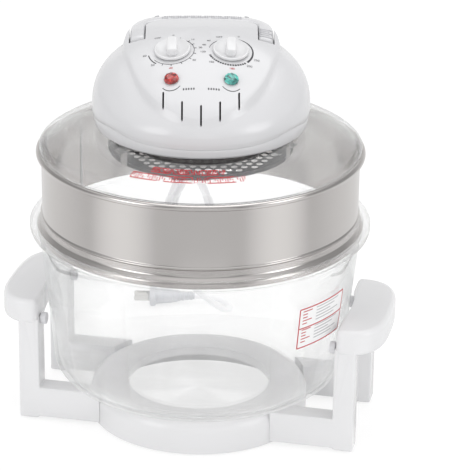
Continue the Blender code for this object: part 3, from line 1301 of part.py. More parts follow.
def plug():
    """The moulded plug lying on the floor: wide front rim, waisted body and ribbed tail, with two blades."""
    x0, y0 = PLUG_PLACE
    z0 = 0.5 * PLUG_DEPTH
    stations = []
    for length, width, depth in zip(PLUG_LENGTH_SHARES, PLUG_WIDTH_SHARES, PLUG_DEPTH_SHARES):
        stations.append((PLUG_LENGTH * length, PLUG_WIDTH * width, PLUG_DEPTH * depth))
    begin = PLUG_LENGTH * PLUG_LENGTH_SHARES[-1]
    step = (PLUG_LENGTH - begin) / (2 * PLUG_RIBS)
    for number in range(2 * PLUG_RIBS):
        radius = PLUG_NECK_RADIUS + (PLUG_TAIL_RADIUS - PLUG_NECK_RADIUS) * number / (2 * PLUG_RIBS)
        radius -= 0.16 * PLUG_TAIL_RADIUS * (number % 2)
        stations += [(begin + (number + 0.2) * step, radius, radius), (begin + (number + 0.8) * step, radius, radius)]
    stations.append((PLUG_LENGTH, PLUG_TAIL_RADIUS, PLUG_TAIL_RADIUS))
    rings = []
    for index, (along, width, depth) in enumerate(stations):
        power = PLUG_SQUARENESS if index < len(PLUG_LENGTH_SHARES) else 2.0
        ring = []
        for corner in range(PLUG_CORNERS):
            angle = 2 * math.pi * (corner + 0.5) / PLUG_CORNERS
            cosine, sine = math.cos(angle), math.sin(angle)
            ring.append(Vector((x0 + along, y0 + width * math.copysign(abs(cosine) ** (2 / power), cosine),
                                z0 + depth * math.copysign(abs(sine) ** (2 / power), sine))))
        rings.append(ring)
    lofted("plug_body", rings, WHITE)
    for number, side in ((1, -1), (2, 1)):
        middle = y0 + 0.5 * side * BLADE_SPACING
        half = 0.5 * BLADE_WIDTH
        outline = [(x0 - SEAT_GAP, -half), (x0 - SEAT_GAP, half), (x0 - BLADE_LENGTH + BLADE_CHAMFER, half),
                   (x0 - BLADE_LENGTH, half - BLADE_CHAMFER), (x0 - BLADE_LENGTH, BLADE_CHAMFER - half),
                   (x0 - BLADE_LENGTH + BLADE_CHAMFER, -half)]
        rings = [[Vector((x, middle + shift, z0 + z)) for x, z in outline]
                 for shift in (-0.5 * BLADE_THICKNESS, 0.5 * BLADE_THICKNESS)]
        lofted(f"plug_blade_{number}", rings, STEEL)


def build():
    clear_scene()
    stand = axis_empty("stand_turn", (0, 0, 0), Matrix.Rotation(STAND_TURN, 4, "Z").to_quaternion())
    stand_base(stand)
    side_frame("side_frame_left", -1, stand)
    side_frame("side_frame_right", 1, stand)
    bumpers(stand)
    foot_pads(stand)
    glass_bowl()
    extender_ring()
    glass_lid()
    lid_gasket()
    gland_x = 0.0
    head_skirt()
    head_cover(gland_x)
    knob_and_unit("timer", -1)
    knob_and_unit("thermostat", 1)
    indicator_lamp("power_lamp_lens", -1, RED_GLASS)
    indicator_lamp("heat_lamp_lens", 1, TEAL_GLASS)
    pivot = axis_empty("handle_axis", (0, HANDLE_PIVOT_BACK, pivot_height()))
    carry_handle(pivot)
    handle_pins()
    safety_switch()
    heat_shield()
    shield_screws()
    spin = axis_empty("fan_axis", (0, 0, 0))
    motor_and_fans(spin)
    heating_element()
    sensor_bulb()
    heater_guard()
    guard_straps()
    terminal_block()
    cord_gland(gland_x)
    cord_and_plug(gland_x)
    bpy.context.view_layer.update()


build()
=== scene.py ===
"""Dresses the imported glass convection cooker: white heater head, glass lid, steel ring, glass bowl and stand."""
from __future__ import annotations

import logging
import math
from dataclasses import dataclass, field
from enum import Enum
from typing import Any, Callable, Sequence

import bmesh
import bpy
from mathutils import Matrix, Quaternion, Vector

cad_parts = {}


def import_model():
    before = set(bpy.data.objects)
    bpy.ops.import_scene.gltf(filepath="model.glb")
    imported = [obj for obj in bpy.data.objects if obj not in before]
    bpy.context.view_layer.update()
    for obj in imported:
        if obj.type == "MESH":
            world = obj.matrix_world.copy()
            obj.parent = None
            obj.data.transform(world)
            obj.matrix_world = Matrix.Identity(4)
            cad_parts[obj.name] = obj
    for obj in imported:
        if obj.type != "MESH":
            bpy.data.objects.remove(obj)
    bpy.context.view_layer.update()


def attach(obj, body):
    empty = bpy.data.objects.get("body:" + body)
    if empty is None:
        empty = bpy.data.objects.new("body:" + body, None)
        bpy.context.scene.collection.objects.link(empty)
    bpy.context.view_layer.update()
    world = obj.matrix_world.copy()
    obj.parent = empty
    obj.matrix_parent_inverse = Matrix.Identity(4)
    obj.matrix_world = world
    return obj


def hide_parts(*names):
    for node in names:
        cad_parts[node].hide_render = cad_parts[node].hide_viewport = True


LOG = logging.getLogger("cooker")
Colour = tuple[float, float, float]
Pair = tuple[float, float]
Profile = Sequence[Pair]

GAP = 0.0003  # air between pieces that touch in use
COVER_RADIUS = 0.1054
GLAND_LENGTH = 0.0300
GLAND_HEIGHT = 0.3300
PLUG_HEIGHT = 0.0080
SHIELD_LOW = 0.3073
HIGH_UP = 0.42  # above everything, for what is cut away
BIG, MEDIUM, SMALL = 160, 144, 40  # steps round a piece
UPRIGHT = Matrix.Rotation(math.pi / 2, 4, "X")


# Shader expressions


@dataclass(frozen=True)
class Value:
    """A number socket in a node tree that can be used in Python arithmetic."""

    tree: Any
    socket: Any

    def op(self, operation: str, *others: Any) -> "Value":
        """One Math node on this value and the others."""
        node = self.tree.nodes.new("ShaderNodeMath")
        node.operation = operation
        for slot, item in zip(node.inputs, (self, *others)):
            if isinstance(item, Value):
                self.tree.links.new(item.socket, slot)
            else:
                slot.default_value = item
        return Value(self.tree, node.outputs[0])

    def __add__(self, other: Any) -> "Value":
        """Sum."""
        return self.op("ADD", other)

    def __mul__(self, other: Any) -> "Value":
        """Product."""
        return self.op("MULTIPLY", other)

    def __sub__(self, other: Any) -> "Value":
        """Difference."""
        return self.op("SUBTRACT", other)

    def __rsub__(self, other: float) -> "Value":
        """A number less this value."""
        return self * -1.0 + other

    def __truediv__(self, other: Any) -> "Value":
        """Quotient."""
        return self.op("DIVIDE", other)

    def __pow__(self, power: float) -> "Value":
        """Power."""
        return self.op("POWER", power)

    def bump(self, middle: float, half: float) -> "Value":
        """A soft hump: 1 at the middle, falling to 0 at half a width away."""
        away = (self - middle) / half
        return (1.0 - away * away).clamped()

    def azimuth(self, depth: "Value") -> "Value":
        """Size of the angle from the front, for this value as X and a depth as Y."""
        return self.op("ARCTAN2", depth * -1.0).op("ABSOLUTE")

    def clamped(self) -> "Value":
        """This value held between 0 and 1."""
        return self.op("MINIMUM", 1.0).op("MAXIMUM", 0.0)


def ray_kinds(tree: Any) -> tuple[Value, ...]:
    """Whether a ray comes from the camera, from a gloss or through glass, each 0 or 1."""
    rays = tree.nodes.new("ShaderNodeLightPath")
    return tuple(Value(tree, rays.outputs[f"Is {kind} Ray"]) for kind in ("Camera", "Glossy", "Transmission"))


class Shader:
    """Builds one node material around its Principled shader."""

    def __init__(self, name: str) -> None:
        """Starts a material of that name."""
        self.material = bpy.data.materials.new(name)
        self.material.use_nodes = True
        self.tree = self.material.node_tree
        self.base = self.tree.nodes["Principled BSDF"]

    def node(self, kind: str, **inputs: Any) -> Any:
        """Adds a node.

        Args:
            kind: the node's type.
            inputs: socket values or links, with underscores for spaces.

        Returns:
            The node.
        """
        made = self.tree.nodes.new(kind)
        for key, item in inputs.items():
            self.put(made, key.replace("_", " "), item)
        return made

    def put(self, made: Any, key: str | int, item: Any) -> None:
        """Sets or links one socket of a node."""
        if isinstance(item, Value):
            item = item.socket
        if isinstance(item, bpy.types.NodeSocket):
            self.tree.links.new(item, made.inputs[key])
        else:
            made.inputs[key].default_value = item

    def where(self, scale: Sequence[float] = (1.0, 1.0, 1.0)) -> Any:
        """The piece's own coordinates in metres, stretched by a scale."""
        place = self.node("ShaderNodeTexCoord").outputs["Object"]
        return self.node("ShaderNodeMapping", Vector=place, Scale=scale).outputs[0]

    def noise(self, scale: float, detail: float = 2.0, stretch: Sequence[float] = (1.0, 1.0, 1.0)) -> Value:
        """A noise value at a scale per metre, with its mean near one half."""
        made = self.node("ShaderNodeTexNoise", Vector=self.where(stretch), Scale=scale, Detail=detail)
        return Value(self.tree, made.outputs[0])

    def tint(self, amount: Value, low: Sequence[float], high: Sequence[float]) -> Any:
        """A colour between two by an amount."""
        mix = self.node("ShaderNodeMix")
        mix.data_type = "RGBA"
        for key, item in ((0, amount), (6, (*low, 1.0)), (7, (*high, 1.0))):
            self.put(mix, key, item)
        return mix.outputs[2]

    def bump(self, height: Value, strength: float, distance: float) -> Any:
        """A surface normal from a height value."""
        return self.node("ShaderNodeBump", Height=height, Strength=strength, Distance=distance).outputs[0]

    def finish(self, **inputs: Any) -> Any:
        """Sets the Principled shader's sockets and returns the material."""
        for key, item in inputs.items():
            self.put(self.base, key.replace("_", " "), item)
        return self.material


@dataclass(frozen=True)
class Moulded:
    """Moulded plastic: fine grain, slow tone change and uneven shine, and a painted glow where one is given."""

    name: str
    colour: Colour
    roughness: float = 0.3
    grain: float = 1300.0
    relief: float = 0.05
    coat: float = 0.0
    # painted light: emission strength that lightens the plastic everywhere, its shaded side too
    painted_light: float = 0.0

    def make(self) -> Any:
        """Builds the material."""
        s = Shader(self.name)
        dark = tuple(c * 0.965 for c in self.colour)
        return s.finish(
            Base_Color=s.tint(s.noise(14.0), dark, self.colour),
            Roughness=(s.noise(90.0) - 0.5) * 0.12 + self.roughness,
            Normal=s.bump(s.noise(self.grain, 3.0), self.relief, 0.0002),
            Coat_Weight=self.coat,
            Coat_Roughness=0.12,
            # painted glow: emission in the plastic's own colour
            Emission_Color=(*self.colour, 1.0),
            Emission_Strength=self.painted_light,
            IOR=1.49,
        )


@dataclass(frozen=True)
class Sheet:
    """Bright sheet metal with fine rolling lines across one direction."""

    name: str
    colour: Colour
    roughness: float = 0.2
    stretch: Colour = (6.0, 6.0, 1400.0)
    relief: float = 0.05

    def make(self) -> Any:
        """Builds the material."""
        s = Shader(self.name)
        lines, smears = s.noise(1.0, 4.0, self.stretch), s.noise(22.0, 4.0)
        dark = tuple(c * 0.9 for c in self.colour)
        return s.finish(
            Base_Color=s.tint(lines * 0.5 + smears * 0.5, dark, self.colour),
            Metallic=1.0,
            Roughness=(lines - 0.5) * 0.10 + (smears - 0.5) * 0.08 + self.roughness,
            Normal=s.bump(lines, self.relief, 0.0001),
        )


@dataclass(frozen=True)
class Clear:
    """Clear glass, plainest where it is seen square on, with a deeper tint at its rims."""

    name: str
    colour: Colour
    deep: Colour

    def make(self) -> Any:
        """Builds the material."""
        s = Shader(self.name)
        edge = Value(s.tree, s.node("ShaderNodeLayerWeight", Blend=0.5).outputs["Facing"])
        return s.finish(
            Base_Color=s.tint(edge ** 5.0 * 0.8 + s.noise(12.0) * 0.03, self.colour, self.deep),
            Transmission_Weight=1.0,
            Roughness=0.0,
            IOR=1.5,
            Alpha=edge ** 3.5 * 0.93 + 0.06,
        )


@dataclass(frozen=True)
class Gem:
    """A cut coloured lens: dark and bright cells painted in as facet shade and highlights, under a hard shine."""

    name: str
    dark: Colour
    colour: Colour

    def make(self) -> Any:
        """Builds the material."""
        s = Shader(self.name)
        # painted shade and highlights: random cells set dark or bright in the base colour stand in for lit and shaded
        # facets
        cells = s.node("ShaderNodeTexVoronoi", Vector=s.where(), Scale=420.0)
        painted_light = Value(s.tree, s.node("ShaderNodeSeparateColor", Color=cells.outputs["Color"]).outputs[0])
        return s.finish(
            Base_Color=s.tint(painted_light, self.dark, self.colour),
            Roughness=0.08,
            Transmission_Weight=0.25,
            Coat_Weight=1.0,
            Coat_Roughness=0.02,
            Normal=s.bump(painted_light, 0.6, 0.001),
        )


@dataclass(frozen=True)
class Ink:
    """Printed ink, worn a little thin in places."""

    name: str
    colour: Colour

    def make(self) -> Any:
        """Builds the material."""
        s = Shader(self.name)
        pale = tuple(min(0.9, c * 1.15 + 0.015) for c in self.colour)
        return s.finish(Base_Color=s.tint(s.noise(800.0), self.colour, pale), Roughness=s.noise(300.0) * 0.2 + 0.4)


MADE: dict[Enum, Any] = {}


class Finish(Enum):
    """Every finish of the cooker."""

    # painted light: one white plastic set to three lightnesses, darker for the brightly lit head and lighter for the
    # shaded stand
    WHITE = Moulded("white_gloss_plastic", (0.665, 0.665, 0.68), 0.22, 700.0, 0.004, 0.35)
    STAND = Moulded("white_stand_plastic", (0.79, 0.79, 0.80), 0.22, 700.0, 0.005, 0.35)
    KNOB = Moulded("white_knob_plastic", (0.745, 0.745, 0.755), 0.24, 900.0, 0.004, 0.3)
    BUMPER = Moulded("white_bumper_plastic", (0.70, 0.70, 0.72), 0.5, 1500.0, 0.05)
    BLACK = Moulded("black_plastic", (0.03, 0.03, 0.032), 0.45)
    DARK_GREY = Moulded("motor_grey", (0.12, 0.12, 0.125), 0.45)
    RUBBER = Moulded("grey_rubber", (0.42, 0.42, 0.43), 0.7, 2000.0, 0.12)
    CERAMIC = Moulded("cream_ceramic", (0.72, 0.69, 0.60), 0.6, 1500.0, 0.15)
    # the cord's painted glow lightens its shaded side so it reads white against the floor; the gland shares this finish
    CORD = Moulded("white_cord_plastic", (0.90, 0.90, 0.91), 0.38, 1600.0, 0.03, painted_light=0.13)
    PLUG = Moulded("white_plug_plastic", (0.70, 0.71, 0.74), 0.42, 1600.0, 0.05)
    STEEL = Sheet("ring_steel", (0.66, 0.635, 0.62), 0.17)
    # painted shade: the guard steel is coloured far darker than bare steel, for the shade it sits in under the head
    GUARD = Sheet("guard_steel", (0.20, 0.20, 0.205), 0.30, (300.0, 300.0, 40.0))
    PLATE = Sheet("shield_steel", (0.70, 0.70, 0.70), 0.22, (160.0, 12.0, 12.0))
    PIN = Sheet("pin_steel", (0.62, 0.62, 0.62), 0.25)
    BLADE = Sheet("blade_metal", (0.84, 0.83, 0.81), 0.18, (20.0, 900.0, 900.0))
    ELEMENT = Sheet("element_sheath", (0.16, 0.15, 0.145), 0.42, (200.0, 200.0, 200.0), 0.2)
    GLASS = Clear("clear_glass", (0.985, 0.992, 0.99), (0.34, 0.40, 0.38))
    # the lenses' dark and bright cells are painted facet shade and highlights
    RED_LENS = Gem("red_lens", (0.10, 0.0, 0.0), (0.80, 0.04, 0.03))
    TEAL_LENS = Gem("teal_lens", (0.0, 0.09, 0.09), (0.16, 0.86, 0.74))
    RED_INK = Ink("red_ink", (0.46, 0.012, 0.02))
    BLACK_INK = Ink("black_ink", (0.03, 0.03, 0.035))
    GREY_INK = Ink("grey_ink", (0.38, 0.38, 0.40))
    WHITE_INK = Ink("white_ink", (0.86, 0.86, 0.86))

    def material(self) -> Any:
        """The finish's material, made once."""
        if self not in MADE:
            MADE[self] = self.value.make()
        return MADE[self]


# Plain geometry


def held(number: float) -> float:
    """The number held between 0 and 1."""
    return min(1.0, max(0.0, number))


def ease(share: float) -> float:
    """A share from 0 to 1, softened at both ends."""
    return share * share * (3 - 2 * share)


def around(angle: float, radius: float, height: float = 0.0) -> Vector:
    """The point at an angle from the front, a radius out and a height up."""
    return Vector((radius * math.sin(angle), -radius * math.cos(angle), height))


def turns(count: int) -> list[float]:
    """Angles evenly round a circle."""
    return [2 * math.pi * i / count for i in range(count)]


def squared(angle: float, power: float) -> Pair:
    """The unit circle's point at an angle, pressed out towards a square by a power under 1."""
    return tuple(math.copysign(abs(part) ** power, part) for part in (math.cos(angle), math.sin(angle)))


def can(radius: float, low: float, high: float) -> list[Pair]:
    """The outline of a plain cylinder, to be spun."""
    return [(0, low), (radius, low), (radius, high), (0, high)]


def rounded(points: Profile, radius: float, steps: int = 4) -> list[Pair]:
    """Rounds every corner of a closed outline by a radius, less where a side is short."""
    result: list[Pair] = []
    count = len(points)
    for i in range(count):
        here, before, after = (Vector(points[k % count]) for k in (i, i - 1, i + 1))
        cut = min(radius, 0.45 * (here - before).length, 0.45 * (after - here).length)
        if here.x < 1e-6 or cut < 1e-6:
            result.append(tuple(here))
            continue
        start = here + (before - here).normalized() * cut
        end = here + (after - here).normalized() * cut
        for step in range(steps + 1):
            t = step / steps
            result.append(tuple((1 - t) ** 2 * start + 2 * t * (1 - t) * here + t ** 2 * end))
    return result


def flowing(points: Sequence[Sequence[float]], fine: int) -> list[Vector]:
    """Points on a smooth curve through the given points, which may be 2-D or 3-D."""
    line = [Vector(point) for point in points]
    ends = [2 * line[0] - line[1]] + line + [2 * line[-1] - line[-2]]
    result = []
    for a, b, c, d in zip(ends, ends[1:], ends[2:], ends[3:]):
        for step in range(fine):
            t = step / fine
            result.append(0.5 * (2 * b + (c - a) * t + (2 * a - 5 * b + 4 * c - d) * t ** 2
                                 + (3 * b - a - 3 * c + d) * t ** 3))
    return result + [line[-1]]


# Mesh making


def linked(name: str, data: Any) -> Any:
    """A new object in the scene that holds the data."""
    made = bpy.data.objects.new(name, data)
    bpy.context.scene.collection.objects.link(made)
    return made


def to_object(name: str, mesh: bmesh.types.BMesh, merge: float = 1e-6) -> Any:
    """Turns a bmesh into an object at the origin.

    Args:
        name: the object's name.
        mesh: the bmesh, which is freed.
        merge: distance under which points merge before faces are turned outwards, or 0 to leave the mesh as it is.

    Returns:
        The object.
    """
    if merge:
        bmesh.ops.remove_doubles(mesh, verts=mesh.verts[:], dist=merge)
        bmesh.ops.recalc_face_normals(mesh, faces=mesh.faces[:])
    data = bpy.data.meshes.new(name)
    mesh.to_mesh(data)
    mesh.free()
    return linked(name, data)


def spun(name: str, profile: Profile, steps: int, centre: Vector | None = None,
         turn: Quaternion | None = None) -> Any:
    """A solid of revolution from a closed outline of (radius, height), placed by turn and centre."""
    mesh = bmesh.new()
    corners = [mesh.verts.new((radius, 0.0, height)) for radius, height in profile]
    edges = [mesh.edges.new(pair) for pair in zip(corners, corners[1:] + corners[:1])
             if max(pair[0].co.x, pair[1].co.x) > 1e-6]
    bmesh.ops.spin(mesh, geom=corners + edges, cent=(0, 0, 0), axis=(0, 0, 1), angle=2 * math.pi, steps=steps,
                   use_merge=True)
    place = Matrix.Translation(centre or Vector()) @ (turn or Quaternion()).to_matrix().to_4x4()
    bmesh.ops.transform(mesh, matrix=place, verts=mesh.verts[:])
    return to_object(name, mesh)


def skinned(name: str, rings: Sequence[Sequence[Vector]], poles: tuple[Vector | None, Vector | None] = (None, None),
            loop: bool = False) -> Any:
    """Skins rings of equal length, closing the ends with flat faces, with poles or into a loop."""
    mesh = bmesh.new()
    loops = [[mesh.verts.new(point) for point in ring] for ring in rings]
    for lower, upper in list(zip(loops, loops[1:])) + ([(loops[-1], loops[0])] if loop else []):
        for i in range(len(lower)):
            j = (i + 1) % len(lower)
            mesh.faces.new((lower[i], lower[j], upper[j], upper[i]))
    for ring, point in () if loop else zip((loops[0], loops[-1]), poles):
        if point is None:
            mesh.faces.new(ring)
        else:
            pole = mesh.verts.new(point)
            for i in range(len(ring)):
                mesh.faces.new((ring[i], ring[(i + 1) % len(ring)], pole))
    return to_object(name, mesh)


def extruded(name: str, outline: Profile, low: float, high: float, place: Matrix | None = None) -> Any:
    """An outline in plan raised between two heights, then placed by a matrix."""
    mesh = bmesh.new()
    face = mesh.faces.new([mesh.verts.new((x, y, low)) for x, y in outline])
    side = bmesh.ops.extrude_face_region(mesh, geom=[face])
    tops = [item for item in side["geom"] if isinstance(item, bmesh.types.BMVert)]
    bmesh.ops.translate(mesh, verts=tops, vec=(0, 0, high - low))
    bmesh.ops.transform(mesh, matrix=place or Matrix.Identity(4), verts=mesh.verts[:])
    return to_object(name, mesh)


def box(name: str, low: Sequence[float], high: Sequence[float]) -> Any:
    """A plain box between two corners."""
    return extruded(name, [(low[0], low[1]), (high[0], low[1]), (high[0], high[1]), (low[0], high[1])], low[2], high[2])


def tube(name: str, path: Sequence[Vector], radius: float, fine: int) -> Any:
    """A round rod along a path, as a capped curve."""
    curve = bpy.data.curves.new(name, "CURVE")
    curve.dimensions = "3D"
    curve.bevel_depth = radius
    curve.bevel_resolution = fine
    curve.use_fill_caps = True
    spline = curve.splines.new("POLY")
    spline.points.add(len(path) - 1)
    for slot, point in zip(spline.points, path):
        slot.co = (*point, 1.0)
    return linked(name, curve)


def applied(made: Any) -> Any:
    """Replaces an object's mesh by its evaluated mesh and removes its modifiers."""
    graph = bpy.context.evaluated_depsgraph_get()
    data = bpy.data.meshes.new_from_object(made.evaluated_get(graph))
    made.modifiers.clear()
    made.data = data
    return made


def bevelled(made: Any, width: float, segments: int, degrees: float = 30.0) -> Any:
    """Rounds the edges that are sharper than an angle."""
    modifier = made.modifiers.new("bevel", "BEVEL")
    modifier.width = width
    modifier.segments = segments
    modifier.limit_method = "ANGLE"
    modifier.angle_limit = math.radians(degrees)
    return applied(made)


def combined(made: Any, others: Sequence[Any], operation: str = "DIFFERENCE") -> Any:
    """Cuts or joins other objects in one exact step, and removes them."""
    group = bpy.data.collections.new("group")
    for other in others:
        group.objects.link(other)
    modifier = made.modifiers.new("boolean", "BOOLEAN")
    modifier.operation = operation
    modifier.operand_type = "COLLECTION"
    modifier.collection = group
    modifier.solver = "EXACT"
    applied(made)
    for other in others:
        bpy.data.objects.remove(other)
    bpy.data.collections.remove(group)
    return made


@dataclass
class Piece:
    """A finished piece and how it is hung in the frame."""

    made: Any
    body: str
    finish: Finish
    stands_for: tuple[str, ...] = ()
    smooth: float = 40.0

    def hang(self) -> Any:
        """Dresses the piece, makes it ride on its body and reports it.

        Returns:
            The object.
        """
        self.made.data.materials.clear()
        self.made.data.materials.append(self.finish.material())
        if self.made.type == "MESH":
            self.made.data.shade_smooth()
            self.made.data.set_sharp_from_angle(angle=math.radians(self.smooth))
        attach(self.made, self.body)
        if self.stands_for:
            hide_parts(*self.stands_for)
        if self.finish is Finish.GLASS:  # clear glass takes no light from what stands behind it
            self.made.visible_shadow = False
            self.made.visible_diffuse = False
        LOG.info("piece %s on %s", self.made.name, self.body)
        return self.made


class Ribbon:
    """Thin printed lines that follow a surface, gathered in one mesh."""

    def __init__(self, surface: Callable[[float, float], Vector], thick: float = 0.00012,
                 outward: Callable[[Vector], Vector] | None = None) -> None:
        """Starts an empty print.

        Args:
            surface: gives the point above a place in plan.
            thick: the ink's thickness.
            outward: gives the way out of the surface at a point, which is up if not given.
        """
        self.surface = surface
        self.thick = thick
        self.outward = outward or (lambda point: Vector((0, 0, 1)))
        self.mesh = bmesh.new()

    def line(self, path: Sequence[Pair], widths: Sequence[float]) -> None:
        """Adds one line along places in plan, with a width at each."""
        rings = []
        for i, (x, y) in enumerate(path):
            ahead = Vector(path[min(i + 1, len(path) - 1)]) - Vector(path[max(i - 1, 0)])
            side = Vector((-ahead.y, ahead.x)).normalized() * 0.5 * widths[i]
            ring = []
            for sign, lift in ((-1, 1), (1, 1), (1, -1), (-1, -1)):
                at = self.surface(x + sign * side.x, y + sign * side.y)
                ring.append(self.mesh.verts.new(at + self.outward(at) * (self.thick * lift)))
            rings.append(ring)
        for lower, upper in zip(rings, rings[1:]):
            for i in range(4):
                self.mesh.faces.new((lower[i], lower[(i + 1) % 4], upper[(i + 1) % 4], upper[i]))
        self.mesh.faces.new(rings[0])
        self.mesh.faces.new(rings[-1])

    def even(self, path: Sequence[Pair], width: float) -> None:
        """Adds a line of one width along places in plan."""
        self.line(path, [width] * len(path))

    def straight(self, start: Pair, end: Pair, width: float, parts: int = 3) -> None:
        """Adds a straight line of one width."""
        self.even([tuple(Vector(start).lerp(Vector(end), i / parts)) for i in range(parts + 1)], width)

    def hang(self, name: str, body: str, finish: Finish) -> None:
        """Hangs the gathered lines as one piece."""
        Piece(to_object(name, self.mesh, merge=1e-7), body, finish).hang()


# Head


@dataclass
class Dome:
    """The shape of the head: a dome on a circle whose crown lies behind the middle, with a raised deck."""

    bottom: float = 0.3076
    skirt_foot: float = 0.1025
    skirt_top: float = 0.1040
    skirt_height: float = 0.0082
    radius: float = COVER_RADIUS
    shoulder: float = 0.3270
    rise: float = 0.0655
    back: float = 0.0280
    wall: float = 0.0030
    powers: tuple[float, float, float] = (1.6, 2.4, 4.0)
    blend: Pair = (30.0, 85.0)
    bow: tuple[float, float, float] = (0.3, 20.0, 0.0300)
    drop: Pair = (0.0665, 0.0029)
    deck: Pair = (0.70, 0.94)
    step: float = 0.0030
    step_share: float = 0.035

    def seam(self, angle: float) -> float:
        """Height of the seam over the skirt at an angle from the front."""
        away = (abs(angle) - math.radians(57)) / math.radians(17)
        return self.bottom + self.skirt_height + 0.0055 * math.exp(-away ** 2)

    def edge(self, angle: float) -> float:
        """Share at which the raised deck ends."""
        turn = min(abs(angle) / math.radians(75), 1.0)
        return self.deck[0] + (self.deck[1] - self.deck[0]) * 0.5 * (1 + math.cos(math.pi * turn))

    def fall(self, share: float, power: float) -> float:
        """Height over the shoulder at a share out from the crown."""
        return self.rise * max(0.0, 1 - share ** power) ** (1 / power)

    def crown(self, y: float) -> float:
        """Height of the deck's middle line over the shoulder."""
        if y < self.back:
            return self.fall((self.back - y) / (self.back + self.radius), self.powers[0])
        return self.fall((y - self.back) / (self.radius - self.back), self.powers[2])

    def flank(self, angle: float, share: float) -> float:
        """Height of the plain dome over the shoulder."""
        turn = held((abs(math.degrees(angle)) - self.blend[0]) / (self.blend[1] - self.blend[0]))
        return self.fall(share, self.powers[0] + (self.powers[1] - self.powers[0]) * ease(turn))

    def deck_height(self, x: float, y: float, flank: float) -> float:
        """Height of the deck over the shoulder: bowed across, and at least a step above the dome."""
        bow = (self.bow[0] + self.bow[1] * max(0.0, self.bow[2] - y)) * x ** 2
        level = self.crown(y) - bow - self.drop[1] * (x / self.drop[0]) ** 4
        return self.step + 0.5 * (level + flank + math.hypot(level - flank, 0.0015))

    def point(self, angle: float, share: float) -> Vector:
        """A point of the dome from an angle and a share out from the crown."""
        reach = self.radius * share
        x, y = reach * math.sin(angle), self.back * (1 - share) - reach * math.cos(angle)
        flank = self.flank(angle, share)
        deck = self.deck_height(x, y, flank)
        height = deck + (flank - deck) * ease(held((share - self.edge(angle)) / self.step_share))
        away = ((abs(angle) - math.radians(62)) / math.radians(17)) ** 2 + ((share - 0.93) / 0.045) ** 2
        return Vector((x, y, self.shoulder + height - 0.0022 * math.exp(-away)))

    def over(self, x: float, y: float) -> Vector:
        """The point of the deck above a place in plan, carried on past its edge."""
        behind = y - self.back
        room = self.radius ** 2 - self.back ** 2
        root = (self.back * behind) ** 2 + room * (x ** 2 + behind ** 2)
        share = (self.back * behind + math.sqrt(root)) / room
        flank = self.flank(math.atan2(x, -(y - self.back * (1 - share))), share)
        return Vector((x, y, self.shoulder + self.deck_height(x, y, flank)))

    def turn(self, x: float, y: float) -> Quaternion:
        """The rotation that stands a piece square on the deck."""
        probe = 0.0005
        along = self.over(x + probe, y) - self.over(x - probe, y)
        behind = self.over(x, y + probe) - self.over(x, y - probe)
        return Vector((0, 0, 1)).rotation_difference(along.cross(behind).normalized())

    def place(self, x: float, y: float) -> Matrix:
        """The matrix that stands a piece square on the deck."""
        return Matrix.Translation(self.over(x, y)) @ self.turn(x, y).to_matrix().to_4x4()


@dataclass
class Bail:
    """The fold-down carry handle and the channel that it lies in."""

    dome: Dome
    span: float = 0.0620
    pivot_back: float = 0.0140
    bar_back: float = 0.0580
    corner: float = 0.0220
    half: float = 0.0070
    thick: float = 0.0120
    gap: float = 0.0010
    depth: float = 0.0260
    swing: tuple[float, float, float] = (0.0052, 0.0019, 0.0010)
    pocket: tuple[float, float, float] = (0.0420, 0.0900, 0.0200)

    def path(self, fine: int) -> list[tuple[Pair, Pair]]:
        """The middle line in plan with its sideways direction."""
        straight, inner = self.bar_back - self.corner, self.span - self.corner
        half = [((self.span, self.pivot_back + (straight - self.pivot_back) * i / fine), (1.0, 0.0))
                for i in range(fine)]
        for i in range(2 * fine + 1):
            turn = 0.5 * math.pi * i / (2 * fine)
            side = (math.cos(turn), math.sin(turn))
            half.append(((inner + self.corner * side[0], straight + self.corner * side[1]), side))
        bar = [((inner * (1 - i / (2 * fine)), self.bar_back), (0.0, 1.0)) for i in range(1, 4 * fine)]
        return half + bar + [((-x, y), (-side[0], side[1])) for (x, y), side in reversed(half)]

    def channel(self, extra: float) -> Any:
        """The room of the handle, grown by an extra width."""
        half = self.half + self.gap + extra
        front = self.pivot_back - 0.5 * self.thick - self.swing[0] - extra
        rings = []
        for (x, y), side in [((self.span, front), (1.0, 0.0))] + self.path(4) + [((-self.span, front), (-1.0, 0.0))]:
            floor = self.dome.over(x, max(y, self.pivot_back)).z - self.depth - extra
            ring = []
            for part, z in ((-1, floor), (1, floor), (1, HIGH_UP), (-1, HIGH_UP)):
                reach = part * (half + (self.swing[1] if part < 0 else self.swing[2]) * side[1])
                ring.append(Vector((x + reach * side[0], y + reach * side[1], z)))
            rings.append(ring)
        return skinned("channel", rings)

    def pocket_block(self, extra: float) -> Any:
        """The finger room behind the bar."""
        reach, back, depth = self.pocket
        floor = self.dome.over(0, self.bar_back).z - depth - extra
        return box("pocket", (-reach - extra, self.bar_back, floor), (reach + extra, back + extra, HIGH_UP))

    def handle(self) -> Any:
        """The handle: a soft-edged bar whose top follows the deck."""
        ends = []
        for i in range(1, 6):
            turn = 0.5 * math.pi * i / 5.3
            ends.append((self.pivot_back - 0.5 * self.thick * math.sin(turn), math.cos(turn)))
        right, left = ([((sign * self.span, y), (sign, 0.0), t) for y, t in ends] for sign in (1.0, -1.0))
        rings = []
        for (x, y), side, thick in right[::-1] + [(at, side, 1.0) for at, side in self.path(5)] + left:
            ring = []
            for part, lift in (squared(a, 0.45) for a in turns(20)):
                px, py = x + part * self.half * side[0], y + part * self.half * side[1]
                level = self.dome.over(px, max(py, self.pivot_back)).z - 0.5 * self.thick
                ring.append(Vector((px, py, level + 0.5 * self.thick * thick * lift)))
            rings.append(ring)
        return skinned("carry_handle_shell", rings)


